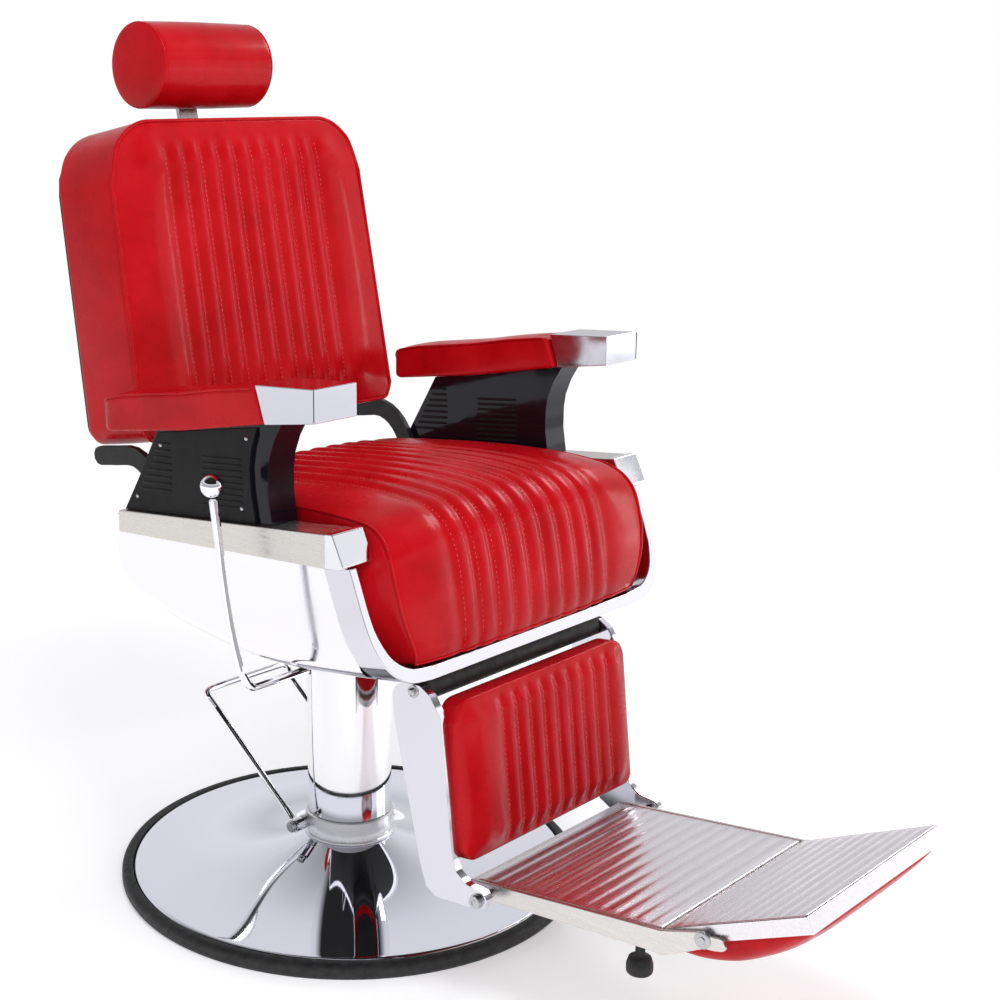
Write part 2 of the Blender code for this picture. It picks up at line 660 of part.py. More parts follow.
def make_headrest():
    piece("headrest_post", back_box((-0.0175, 0.195, -0.1100), (0.0175, 0.425, -0.1020)), "steel", "headrest")
    half = 0.107
    edge = 0.012
    profile = [(0, -half), (HEADREST_R - edge, -half), (HEADREST_R - 0.0035, -half + 0.0035),
               (HEADREST_R, -half + edge), (HEADREST_R, half - edge), (HEADREST_R - 0.0035, half - 0.0035),
               (HEADREST_R - edge, half), (0, half)]
    obj = piece("headrest_cushion", turned(profile, 28, HEADREST_AXIS, "X"), "red_vinyl", "headrest")
    cut(obj, back_box((-0.0180, 0.300, -0.1105), (0.0180, 0.430, -0.1015)))


def make_back_arms():
    """Curved bars from the recline shaft, up between cushion and rail, to under the backrest."""
    middle = smooth_path([(BACK_AXIS.y, BACK_AXIS.z), (0.1080, 0.585), (0.1330, 0.628), (0.1680, 0.6480),
                          (0.2100, 0.6440), (0.2440, 0.6390)], 3)
    for side, word in ((1, "left"), (-1, "right")):
        outer = mirrored_x(0.2465, 0.2555, side)
        obj = piece(f"back_arm_{word}", side_prism(strap(middle, 0.027), *outer), "black_steel", "back")
        lug = LUG_AXIS if side > 0 else STRUT_LUG
        join(obj, side_prism(strap([(BACK_AXIS.y, BACK_AXIS.z), (lug.y, lug.z)], 0.020), *outer))
        join(obj, rod_x(lug, 0.0045, *mirrored_x(0.1970, 0.2480, side), 14))
        cut(obj, rod_x(BACK_AXIS, 0.0082, *mirrored_x(0.2400, 0.2600, side), 16))


# ---------------------------------------------------------------- leg rest and footboard


def make_leg_arms():
    outline = [(-0.2690, 0.4080), (-0.2840, 0.4170), (-0.3100, 0.4180), (-0.3280, 0.4080), (-0.3450, 0.3840),
               (-0.3550, 0.3050), (-0.3670, 0.2060), (-0.3750, 0.1850), (-0.3930, 0.1740), (-0.4180, 0.1720),
               (-0.4255, 0.1640), (-0.4220, 0.1520), (-0.4050, 0.1460), (-0.3420, 0.1390), (-0.3250, 0.1480),
               (-0.3130, 0.1800), (-0.2870, 0.2850), (-0.2680, 0.3600), (-0.2640, 0.3950)]
    for side, word in ((1, "left"), (-1, "right")):
        obj = piece(f"leg_arm_{word}", side_prism(outline, *mirrored_x(LEG_ARM_IN, LEG_ARM_OUT, side)),
                    "chrome", "legrest")
        through = mirrored_x(0.175, 0.205, side)
        cut(obj, rod_x(LEG_AXIS, 0.0064, *through, 16))
        cut(obj, rod_x(FOOT_AXIS, 0.0060, *through, 16))
    piece("leg_shaft", rod_x(LEG_AXIS, 0.0060, -0.1970, 0.1970, 16), "steel", "legrest")
    obj = piece("foot_shaft", rod_x(FOOT_AXIS, 0.0055, -0.2010, 0.2010, 16), "steel", "legrest")
    for side in (1, -1):
        join(obj, rod_x(FOOT_AXIS, 0.0085, *mirrored_x(0.1956, 0.2010, side), 12))


PAD_MIDDLE = Vector((0, -0.3375, 0.2940))
PAD_UP = Vector((0, math.sin(LEG_TILT), math.cos(LEG_TILT)))
PAD_OUT = Vector((0, -math.cos(LEG_TILT), math.sin(LEG_TILT)))


def pad_ring(inset, out, top=0.1060, bottom=-0.1060):
    corners = [(-0.1815 + inset, bottom + inset), (0.1815 - inset, bottom + inset),
               (0.1815 - inset, top - inset), (-0.1815 + inset, top - inset)]
    outline = rounded(corners, [0.014, 0.014, 0.026, 0.026], 3)
    return [PAD_MIDDLE + Vector((x, 0, 0)) + PAD_UP * up + PAD_OUT * out for x, up in outline]


def make_calf():
    board = [pad_ring(0.0150, -0.0085, 0.085, -0.090), pad_ring(0.0150, -0.0004, 0.085, -0.090)]
    piece("calf_board", loft(board), "black_steel", "legrest")
    stations = ((0.004, 0), (0, 0.006), (0, 0.022), (0.003, 0.030), (0.010, 0.037), (0.030, 0.041))
    rings = [pad_ring(inset, out) for inset, out in stations]
    piece("calf_pad", loft(rings), "red_vinyl", "legrest")


def make_foot_plate():
    rear = (-0.3740, 0.1642)
    front = (-0.6575, 0.1980)
    deep = 0.0175
    slab = [rear, front, (front[0] + 0.002, front[1] - deep), (rear[0] - 0.002, rear[1] - deep)]
    obj = piece("foot_plate", side_prism(slab, -TREAD_HALF - 0.001, TREAD_HALF + 0.001), "tread", "footplate")
    cheek = [(-0.3735, 0.1650), (-0.6600, 0.1992), (-0.7160, 0.2180), (-0.7240, 0.2155), (-0.7270, 0.2080),
             (-0.7220, 0.1995), (-0.6640, 0.1740), (-0.6520, 0.1770), (-0.3755, 0.1440)]
    ear = [(-0.7160, 0.2185), (-0.7160, 0.1960), (-0.7400, 0.2010), (-0.7470, 0.2085), (-0.7440, 0.2165),
           (-0.7330, 0.2205)]
    for side in (1, -1):
        outer = mirrored_x(TREAD_HALF + 0.0005, CHEEK_OUT, side)
        join(obj, side_prism(cheek, *outer))
        join(obj, side_prism(ear, *outer))
        cut(obj, rod_x(FLIP_AXIS, 0.0046, *mirrored_x(0.155, 0.170, side), 14))
    cut(obj, rod_x(FOOT_AXIS, 0.0060, -0.170, 0.170, 16))
    for side, word in ((1, "left"), (-1, "right")):
        bottom = 0.1080
        seat = 0.1730
        bumper = [(0, bottom), (0.0150, bottom), (0.0165, bottom + 0.003), (0.0165, bottom + 0.013),
                  (0.0140, bottom + 0.021), (0.0060, bottom + 0.022), (0.0060, seat), (0, seat)]
        piece(f"foot_bumper_{word}", turned(bumper, 16, (side * 0.125, -0.607, 0)), "rubber", "footplate")


FLIP_AHEAD = Vector((0, -math.cos(FLIP_TILT), math.sin(FLIP_TILT)))
FLIP_NORMAL = Vector((0, math.sin(FLIP_TILT), math.cos(FLIP_TILT)))


def on_flip(x, ahead, lift):
    return FLIP_AXIS + Vector((x, 0, 0)) + FLIP_AHEAD * ahead + FLIP_NORMAL * lift


def make_flip():
    outline = [(-0.0545, 0.0143), (0.1400, 0.0143), (0.1425, -0.0055), (-0.0525, -0.0055)]
    half = TREAD_HALF - 0.001
    rings = [[on_flip(x, a, n) for a, n in outline] for x in (half, -half)]
    obj = piece("flip_plate", loft(rings), "tread", "flip")
    for side in (1, -1):
        join(obj, rod_x(FLIP_AXIS, 0.0040, *mirrored_x(0.150, 0.1680, side), 14))
    rings = []
    for x, share in ((0.148, 0.35), (0.144, 0.72), (0.125, 0.92), (0.07, 1), (0, 1)):
        rings.append(flip_pad_ring(x, share))
    mirror = [flip_pad_ring(-x, s) for x, s in ((0.07, 1), (0.125, 0.92), (0.144, 0.72), (0.148, 0.35))]
    piece("flip_pad", loft(rings + mirror), "red_vinyl", "flip")


def flip_pad_ring(x, share):
    """The pillow under the flip plate: flat against it, bulging down and back towards the hinge."""
    top = -0.0062
    belly = [(-0.068, -0.022), (-0.060, -0.034), (-0.038, -0.044), (0.000, -0.0475), (0.040, -0.0445),
             (0.080, -0.0360), (0.112, -0.0245), (0.130, -0.014)]
    ring = [(-0.050, top), *[(a * (0.9 + 0.1 * share), top + (n - top) * share) for a, n in belly], (0.134, top)]
    return [on_flip(x, a, n) for a, n in ring]


def main():
    clear_scene()
    make_materials()
    pivot("base", Vector((0, 0, 0)))
    pivot("pedal", PEDAL_AXIS, "base")
    pivot("lift", Vector((0, 0, 0)), "base")
    pivot("seat", SEAT_AXIS, "lift")
    pivot("back", BACK_AXIS, "seat")
    pivot("headrest", HEADREST_AXIS, "back")
    pivot("drag_link", LUG_AXIS, "back")
    pivot("strut", STRUT_AXIS, "seat")
    pivot("strut_rod", STRUT_AXIS, "strut")
    pivot("lever", LEVER_AXIS, "seat")
    pivot("legrest", LEG_AXIS, "seat")
    pivot("footplate", FOOT_AXIS, "legrest")
    pivot("flip", FLIP_AXIS, "footplate")
    make_base()
    make_pedal()
    make_lift()
    make_hub()
    make_shell()
    make_trim()
    make_rails()
    make_seat_board()
    make_seat_cushion()
    make_arms()
    make_back_shaft()
    make_leg_bracket()
    make_strut_anchor()
    make_strut()
    make_drag_link()
    make_lever()
    make_back()
    make_headrest()
    make_back_arms()
    make_leg_arms()
    make_calf()
    make_foot_plate()
    make_flip()


main()
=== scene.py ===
"""The looks of the hydraulic barber chair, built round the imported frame. Metres, +Z up. The front of the
chair faces -Y and the sitter's right, the side nearer the camera, is at -X."""

import json
import math

import bmesh
import bpy
import numpy as np
from mathutils import Matrix, Vector
from mathutils.bvhtree import BVHTree

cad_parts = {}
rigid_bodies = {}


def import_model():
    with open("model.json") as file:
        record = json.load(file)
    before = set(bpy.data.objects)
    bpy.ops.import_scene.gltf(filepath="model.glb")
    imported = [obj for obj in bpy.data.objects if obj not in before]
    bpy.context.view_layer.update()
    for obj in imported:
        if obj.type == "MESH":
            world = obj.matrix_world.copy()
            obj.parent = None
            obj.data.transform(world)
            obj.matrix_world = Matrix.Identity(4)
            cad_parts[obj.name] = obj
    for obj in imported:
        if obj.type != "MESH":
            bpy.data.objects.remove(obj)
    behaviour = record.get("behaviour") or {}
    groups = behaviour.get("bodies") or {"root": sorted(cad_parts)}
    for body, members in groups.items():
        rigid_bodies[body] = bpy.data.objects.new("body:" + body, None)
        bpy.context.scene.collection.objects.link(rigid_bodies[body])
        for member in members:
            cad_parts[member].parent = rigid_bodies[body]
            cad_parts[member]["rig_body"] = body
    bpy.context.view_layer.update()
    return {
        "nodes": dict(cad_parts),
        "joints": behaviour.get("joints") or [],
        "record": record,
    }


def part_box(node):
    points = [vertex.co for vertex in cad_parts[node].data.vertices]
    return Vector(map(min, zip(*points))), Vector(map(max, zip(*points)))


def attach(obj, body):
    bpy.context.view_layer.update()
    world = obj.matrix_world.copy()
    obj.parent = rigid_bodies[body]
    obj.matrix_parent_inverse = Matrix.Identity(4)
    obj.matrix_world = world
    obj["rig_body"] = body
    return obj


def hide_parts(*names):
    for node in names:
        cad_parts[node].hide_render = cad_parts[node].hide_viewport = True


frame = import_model()
NODES = frame["nodes"]
JOINTS = {joint["name"]: joint for joint in frame["joints"]}
SLOT = {row["node"]: row["material_slot"] for row in frame["record"]["subparts"]}
SIDES = ((1, "left"), (-1, "right"))

CHANNEL_PITCH = 0.033
SEAT_GROOVES = [CHANNEL_PITCH * (i - 4.5) for i in range(10)]
BACK_GROOVES = [CHANNEL_PITCH * (i - 4.5) for i in range(10)]
CALF_GROOVES = [0.0285 * (i - 4) + 0.018 for i in range(9)]
SIM_FRAMES = 20
NOTCH = (0.2435, 0.2585)
FLOOR_GLOW = 0.30
ROOM_LIGHT = 0.40


# ---------------------------------------------------------------- materials


class Surface:
    """A node material with a Principled shader and short calls for the patterns that drive it."""

    def __init__(self, name, colour, roughness, metallic=0.0):
        self.material = bpy.data.materials.new(name)
        self.material.use_nodes = True
        self.material.diffuse_color = (*colour, 1)
        self.tree = self.material.node_tree
        self.shader = self.tree.nodes["Principled BSDF"]
        self.set("Base Color", (*colour, 1))
        self.set("Roughness", roughness)
        self.set("Metallic", metallic)
        self.place = self.tree.nodes.new("ShaderNodeTexCoord").outputs["Object"]
        self.normal = None

    def set(self, name, value):
        """Gives a shader input a fixed value, or links it to another node's output."""
        if isinstance(value, bpy.types.NodeSocket):
            self.tree.links.new(value, self.shader.inputs[name])
        else:
            self.shader.inputs[name].default_value = value

    def stretched(self, scale):
        mapping = self.tree.nodes.new("ShaderNodeMapping")
        mapping.inputs["Scale"].default_value = scale
        self.tree.links.new(self.place, mapping.inputs["Vector"])
        return mapping.outputs["Vector"]

    def noise(self, scale, detail=3, roughness=0.5, stretch=(1, 1, 1)):
        node = self.tree.nodes.new("ShaderNodeTexNoise")
        node.inputs["Scale"].default_value = scale
        node.inputs["Detail"].default_value = detail
        node.inputs["Roughness"].default_value = roughness
        self.tree.links.new(self.stretched(stretch), node.inputs["Vector"])
        return node.outputs["Fac"]

    def cells(self, scale, stretch=(1, 1, 1)):
        node = self.tree.nodes.new("ShaderNodeTexVoronoi")
        node.inputs["Scale"].default_value = scale
        self.tree.links.new(self.stretched(stretch), node.inputs["Vector"])
        return node.outputs["Distance"]

    def spread(self, value, low, high, start=0.0, end=1.0):
        """Maps a 0..1 pattern to low..high."""
        node = self.tree.nodes.new("ShaderNodeMapRange")
        node.inputs["From Min"].default_value = start
        node.inputs["From Max"].default_value = end
        node.inputs["To Min"].default_value = low
        node.inputs["To Max"].default_value = high
        self.tree.links.new(value, node.inputs["Value"])
        return node.outputs["Result"]

    def tint(self, value, stops):
        node = self.tree.nodes.new("ShaderNodeValToRGB")
        ramp = node.color_ramp
        while len(ramp.elements) < len(stops):
            ramp.elements.new(0.5)
        for element, (place, colour) in zip(ramp.elements, stops):
            element.position = place
            element.color = (*colour, 1)
        self.tree.links.new(value, node.inputs["Fac"])
        return node.outputs["Color"]

    def bump(self, height, strength, distance):
        """Adds a bump layer over the ones before it."""
        node = self.tree.nodes.new("ShaderNodeBump")
        node.inputs["Strength"].default_value = strength
        node.inputs["Distance"].default_value = distance
        self.tree.links.new(height, node.inputs["Height"])
        if self.normal:
            self.tree.links.new(self.normal, node.inputs["Normal"])
        self.normal = node.outputs["Normal"]
        self.set("Normal", self.normal)


def make_vinyl():
    """Glossy upholstery vinyl: deep red with a cloudy patina, fine grain and soft creases."""
    skin = Surface("red_vinyl_skin", (0.55, 0.008, 0.014), 0.26)
    patina = skin.noise(9, 6, 0.62)
    skin.set("Base Color", skin.tint(patina, [(0.30, (0.37, 0.0022, 0.005)), (0.50, (0.47, 0.0035, 0.008)),
                                              (0.72, (0.54, 0.007, 0.013))]))
    skin.set("Roughness", skin.spread(skin.noise(24, 5, 0.6), 0.20, 0.40, 0.3, 0.7))
    skin.set("Specular IOR Level", 0.08)
    skin.set("Coat Weight", 0.13)
    skin.set("Coat Roughness", 0.13)
    skin.bump(skin.noise(11, 3, 0.5), 0.16, 0.006)
    skin.bump(skin.noise(55, 4, 0.5), 0.07, 0.0010)
    skin.bump(skin.cells(1100), 0.08, 0.00012)
    return skin.material


def make_thread():
    thread = Surface("red_thread", (0.62, 0.05, 0.06), 0.5)
    thread.set("Base Color", thread.tint(thread.noise(400), [(0.3, (0.50, 0.02, 0.03)), (0.7, (0.75, 0.12, 0.13))]))
    thread.bump(thread.noise(2500, 2), 0.4, 0.0002)
    return thread.material


def make_chrome(name="polished_chrome", colour=(0.90, 0.90, 0.93), low=0.02, high=0.07, wave=0.03):
    """Mirror plating with faint smudges and the slight waviness of pressed sheet."""
    plate = Surface(name, colour, low, 1.0)
    plate.set("Roughness", plate.spread(plate.noise(17, 6, 0.65), low, high, 0.35, 0.7))
    plate.bump(plate.noise(6, 2, 0.4), wave, 0.01)
    plate.bump(plate.noise(600, 2, 0.5), 0.006, 0.0004)
    return plate.material


def make_brushed(name, colour, stretch, roughness=0.26):
    """Metal brushed along one direction, by noise stretched along it."""
    metal = Surface(name, colour, roughness, 1.0)
    lines = metal.noise(260, 4, 0.7, stretch)
    metal.set("Roughness", metal.spread(lines, roughness - 0.07, roughness + 0.12, 0.3, 0.7))
    darker = tuple(c * 0.86 for c in colour)
    metal.set("Base Color", metal.tint(lines, [(0.3, darker), (0.7, colour)]))
    metal.bump(lines, 0.06, 0.0006)
    return metal.material


def make_light_plating(name, share, low, high):
    """Pale satin plating: share of it mirrors, the rest glows softly, so it stays light over a dark base."""
    plate = Surface(name, (0.86, 0.86, 0.90), low, share)
    plate.set("Roughness", plate.spread(plate.noise(30, 5), low, high, 0.3, 0.7))
    plate.bump(plate.noise(400, 2), 0.02, 0.0004)
    return plate.material


def make_gloss_black():
    gloss = Surface("gloss_black_lacquer", (0.006, 0.006, 0.010), 0.07)
    gloss.set("Roughness", gloss.spread(gloss.noise(30, 5), 0.04, 0.14, 0.35, 0.7))
    gloss.set("Specular IOR Level", 0.20)
    gloss.set("Coat Weight", 0.15)
    gloss.set("Coat Roughness", 0.04)
    gloss.bump(gloss.noise(18, 2), 0.05, 0.004)
    return gloss.material


def make_moulded_black():
    """Satin moulded plastic with a fine spark-eroded texture."""
    plastic = Surface("moulded_black", (0.011, 0.011, 0.012), 0.42)
    plastic.set("Specular IOR Level", 0.13)
    plastic.set("Roughness", plastic.spread(plastic.noise(40, 4), 0.34, 0.50, 0.3, 0.7))
    plastic.bump(plastic.noise(1500, 2), 0.16, 0.0003)
    return plastic.material


def make_powder_black():
    coat = Surface("powder_coat_black", (0.014, 0.014, 0.015), 0.38)
    coat.set("Specular IOR Level", 0.25)
    coat.set("Roughness", coat.spread(coat.noise(60, 4), 0.30, 0.48, 0.3, 0.7))
    coat.bump(coat.noise(900, 3, 0.6), 0.22, 0.0005)
    return coat.material


def make_rubber():
    rubber = Surface("black_rubber", (0.012, 0.012, 0.013), 0.62)
    rubber.set("Base Color", rubber.tint(rubber.noise(90, 5), [(0.3, (0.008, 0.008, 0.009)),
                                                               (0.7, (0.022, 0.022, 0.023))]))
    rubber.set("Roughness", rubber.spread(rubber.noise(140, 4), 0.50, 0.72, 0.3, 0.7))
    rubber.bump(rubber.noise(800, 3), 0.20, 0.0004)
    return rubber.material


def make_cast_iron():
    iron = Surface("painted_iron", (0.05, 0.05, 0.055), 0.6, 0.4)
    iron.set("Roughness", iron.spread(iron.noise(80, 4), 0.5, 0.7))
    iron.bump(iron.noise(300, 4, 0.65), 0.5, 0.0008)
    return iron.material


def make_plywood():
    wood = Surface("plywood", (0.42, 0.28, 0.16), 0.65)
    grain = wood.noise(40, 6, 0.6, (1, 0.08, 1))
    wood.set("Base Color", wood.tint(grain, [(0.3, (0.30, 0.19, 0.10)), (0.7, (0.50, 0.35, 0.20))]))
    wood.bump(grain, 0.25, 0.0008)
    return wood.material


def make_materials():
    made = {
        "vinyl": make_vinyl(),
        "thread": make_thread(),
        "chrome": make_chrome(),
        "base_chrome": make_chrome("base_chrome", (0.86, 0.86, 0.93), 0.01, 0.04, 0.012),
        "chrome_panel": make_chrome("chrome_panel", (0.86, 0.86, 0.90), 0.05, 0.12, 0.02),
        "shell_chrome": make_chrome("shell_chrome", (0.96, 0.95, 0.98), 0.06, 0.12, 0.02),
        "arm_plating": make_chrome("arm_plating", (0.74, 0.73, 0.78), 0.07, 0.14, 0.02),
        "cap_plating": make_chrome("cap_plating", (0.62, 0.62, 0.67), 0.06, 0.13, 0.02),
        "collar_plating": make_light_plating("collar_plating", 0.55, 0.22, 0.36),
        "rail_metal": make_brushed("brushed_rail", (0.74, 0.71, 0.67), (1, 0.03, 1)),
        "tread_metal": make_brushed("satin_tread", (0.89, 0.85, 0.88), (0.03, 1, 1), 0.27),
        "edge_metal": make_brushed("brushed_edge", (0.76, 0.73, 0.70), (1, 0.03, 0.6), 0.26),
        "steel": make_brushed("turned_steel", (0.56, 0.56, 0.58), (0.2, 1, 1), 0.24),
        "gloss_black": make_gloss_black(),
        "moulded_black": make_moulded_black(),
        "powder_black": make_powder_black(),
        "rubber": make_rubber(),
        "iron": make_cast_iron(),
        "plywood": make_plywood(),
    }
    return made


LOOKS = make_materials()
SLOT_LOOKS = {"chrome": "chrome", "brushed": "rail_metal", "iron": "iron", "steel": "steel",
              "black_steel": "powder_black", "gloss_black": "gloss_black", "matt_black": "moulded_black",
              "rubber": "rubber", "red_vinyl": "vinyl", "board": "plywood", "tread": "tread_metal"}


def dress_cad_nodes():
    """Every carried-over CAD node gets the finish of its record slot."""
    for name, obj in NODES.items():
        obj.data.materials.clear()
        obj.data.materials.append(LOOKS[SLOT_LOOKS[SLOT[name]]])


# ---------------------------------------------------------------- mesh helpers


def piece(name, bm, look, body, replaces=(), sharp=35):
    """Turns a mesh in the row frame into a piece that rides on a body."""
    bmesh.ops.recalc_face_normals(bm, faces=bm.faces)
    mesh = bpy.data.meshes.new(name)
    bm.to_mesh(mesh)
    bm.free()
    mesh.materials.append(LOOKS[look])
    mesh.shade_smooth()
    if sharp:
        mesh.set_sharp_from_angle(angle=math.radians(sharp))
    obj = bpy.data.objects.new(name, mesh)
    bpy.context.scene.collection.objects.link(obj)
    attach(obj, body)
    if replaces:
        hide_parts(*replaces)
    return obj


def bevelled(obj, width, segments=2, angle=30):
    bevel = obj.modifiers.new("bevel", "BEVEL")
    bevel.width = width
    bevel.segments = segments
    bevel.limit_method = "ANGLE"
    bevel.angle_limit = math.radians(angle)
    bevel.harden_normals = True
    return obj


def loft(rings, closed_ends=True):
    bm = bmesh.new()
    loops = [[bm.verts.new(point) for point in ring] for ring in rings]
    for low, high in zip(loops, loops[1:]):
        for i in range(len(low)):
            j = (i + 1) % len(low)
            bm.faces.new((low[i], low[j], high[j], high[i]))
    if closed_ends:
        bm.faces.new(loops[0][::-1])
        bm.faces.new(loops[-1])
    return bm


def side_prism(outline, x_low, x_high):
    return loft([[(x, y, z) for y, z in outline] for x in (x_low, x_high)])


def mirrored(low, high, side):
    return (low, high) if side > 0 else (-high, -low)


def turned(profile, segments=96, centre=(0, 0, 0), axis="Z"):
    """A closed (radius, height) profile turned about an axis. A radius of 0 is on the axis."""
    bm = bmesh.new()
    rings = []
    for radius, height in profile:
        if radius < 1e-7:
            rings.append([bm.verts.new((0, 0, height))])
            continue
        angles = [2 * math.pi * i / segments for i in range(segments)]
        rings.append([bm.verts.new((radius * math.cos(a), radius * math.sin(a), height)) for a in angles])
    for one, two in zip(rings, rings[1:] + rings[:1]):
        if len(one) == 1 and len(two) == 1:
            continue
        for i in range(segments):
            j = (i + 1) % segments
            corners = [one[i % len(one)], one[j % len(one)], two[j % len(two)], two[i % len(two)]]
            bm.faces.new(list(dict.fromkeys(corners)))
    if axis == "X":
        bmesh.ops.transform(bm, matrix=Matrix.Rotation(math.pi / 2, 4, "Y"), verts=bm.verts)
    bmesh.ops.transform(bm, matrix=Matrix.Translation(centre), verts=bm.verts)
    return bm


def arc(centre, radius, start, end, steps=6):
    """Points of (centre + radius) from one angle to another, in degrees."""
    turns = [math.radians(start + (end - start) * i / steps) for i in range(steps + 1)]
    return [(centre[0] + radius * math.cos(a), centre[1] + radius * math.sin(a)) for a in turns]


def smooth(points, steps=6):
    """Catmull-Rom points through the given ones."""
    points = [Vector(p) for p in points]
    padded = [2 * points[0] - points[1], *points, 2 * points[-1] - points[-2]]
    made = []
    for a, b, c, d in zip(padded, padded[1:], padded[2:], padded[3:]):
        for step in range(steps):
            t = step / steps
            made.append(0.5 * (2 * b + (c - a) * t + (2 * a - 5 * b + 4 * c - d) * t**2
                               + (3 * b - a - 3 * c + d) * t**3))
    return [*made, points[-1]]


def smooth_loop(points, steps=4):
    """Catmull-Rom points round a closed outline."""
    points = [Vector(p) for p in points]
    count = len(points)
    made = []
    for i in range(count):
        a, b, c, d = points[i - 1], points[i], points[(i + 1) % count], points[(i + 2) % count]
        for step in range(steps):
            t = step / steps
            made.append(0.5 * (2 * b + (c - a) * t + (2 * a - 5 * b + 4 * c - d) * t**2
                               + (3 * b - a - 3 * c + d) * t**3))
    return made


def evenly(points, count):
    """count + 1 points at equal distances along a path."""
    points = [Vector(p) for p in points]
    lengths = [0.0]
    for one, two in zip(points, points[1:]):
        lengths.append(lengths[-1] + (two - one).length)
    made = []
    index = 0
    for i in range(count + 1):
        want = lengths[-1] * i / count
        while index < len(points) - 2 and lengths[index + 1] < want:
            index += 1
        span = max(lengths[index + 1] - lengths[index], 1e-9)
        made.append(points[index].lerp(points[index + 1], (want - lengths[index]) / span))
    return made


def tube(path, radius, sides=16):
    path = [Vector(p) for p in path]
    tangents = []
    for i in range(len(path)):
        tangents.append((path[min(i + 1, len(path) - 1)] - path[max(i - 1, 0)]).normalized())
    normal = tangents[0].orthogonal().normalized()
    rings = []
    for i, (point, tangent) in enumerate(zip(path, tangents)):
        if i:
            normal = tangents[i - 1].rotation_difference(tangent) @ normal
        side = tangent.cross(normal)
        angles = [2 * math.pi * k / sides for k in range(sides)]
        rings.append([point + (normal * math.cos(a) + side * math.sin(a)) * radius for a in angles])
    return loft(rings)


def refined(node, look=None, bevel=0.0007, segments=2, angle=30, soften=0):
    """A finished copy of a rigid CAD node: flat faces merged, edges bevelled or, for bars, subdivided."""
    bm = bmesh.new()
    bm.from_mesh(NODES[node].data)
    bmesh.ops.remove_doubles(bm, verts=bm.verts, dist=1e-5)
    bmesh.ops.dissolve_limit(bm, angle_limit=math.radians(0.6), verts=bm.verts, edges=bm.edges)
    body = NODES[node]["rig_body"]
    obj = piece(f"{node}_finished", bm, look or SLOT_LOOKS[SLOT[node]], body, (node,))
    if soften:
        crease = obj.data.attributes.new("crease_edge", "FLOAT", "EDGE")
        sharp = obj.data.attributes.get("sharp_edge")
        if sharp:
            for i, flag in enumerate(sharp.data):
                crease.data[i].value = 0.9 if flag.value else 0.0
        division = obj.modifiers.new("round", "SUBSURF")
        division.levels = division.render_levels = soften
    elif bevel:
        bevelled(obj, bevel, segments, angle)
    return obj


# ---------------------------------------------------------------- base, pump and pedal


def make_base():
    low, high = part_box("base_cover")
    rim = high.x
    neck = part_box("pump_collar")[1].z - 0.0345
    rise = 0.0405
    foot = neck - rise + 0.0
    radii = [0.0545 + (rim - 0.006 - 0.0545) * (i / 60) ** 1.4 for i in range(61)]
    top = []
    for r in radii:
        share = max(0.0, (rim - r) / (rim - 0.067))
        top.append((r, min(foot + rise * share**3.0, neck)))
    lip = arc((rim - 0.006, foot - 0.006), 0.006, 90, 0, 8)
    cover = [*top, *lip[1:], (rim, low.z), (rim - 0.002, low.z), (rim - 0.002, foot - 0.008),
             *[(r, z - 0.002) for r, z in top[::-1]]]
    piece("base_cover_spun", turned(cover, 192), "base_chrome", "base", ("base_cover",), 50)
    low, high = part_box("base_rim")
    outer, inner, tall = high.x, rim + 0.0006, high.z
    ring = [(inner, 0), (outer - 0.003, 0), *arc((outer - 0.004, 0.006), 0.004, -60, 0, 4),
            *arc((outer - 0.009, tall - 0.009), 0.009, 0, 90, 8), *arc((inner + 0.003, tall - 0.003), 0.003, 90, 180, 4)]
    piece("base_rim_moulded", turned(ring, 192), "rubber", "base", ("base_rim",), 60)


def make_pump():
    low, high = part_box("column_sleeve")
    radius, bottom, top = high.x, low.z, high.z
    bore = radius - 0.0025
    sleeve = [(radius, bottom), (radius, top - 0.002), (radius - 0.002, top), (0.031, top),
              (0.031, top - 0.004), (bore, top - 0.004), (bore, bottom)]
    piece("column_sleeve_plated", turned(sleeve, 128), "chrome", "lift", ("column_sleeve",), 30)
    low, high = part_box("pump_collar")
    wall = radius + 0.0040
    floor, top = low.z, high.z
    collar = [(0.0508, floor), (wall + 0.0010, floor), *arc((wall + 0.0008, floor + 0.0022), 0.0022, -70, 70, 6),
              (wall, floor + 0.0050), (wall, top - 0.0015), (wall - 0.0015, top), (0.0508, top)]
    bm = turned(collar, 128)
    piece("pump_collar_plated", bm, "collar_plating", "base", ("pump_collar",), 40)
    axis = JOINTS["pedal_press"]["pos_m"]
    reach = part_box("pump_collar")[1].x
    for side, word in SIDES:
        boss = [(0, 0.060), (0.0100, 0.060), (0.0100, 0.0728), (0.0092, 0.0736), (0.0045, 0.0736), (0.0045, reach - 0.006),
                (0.0075, reach - 0.006), (0.0082, reach - 0.005), (0.0082, reach - 0.001), (0.0070, reach), (0, reach)]
        bm = turned(boss if side > 0 else [(r, -x) for r, x in boss], 28, (0, axis[1], axis[2]), "X")
        piece(f"pedal_bolt_{word}", bm, "steel", "base")
    refined("pump_pedal", soften=2)


# ---------------------------------------------------------------- seat frame


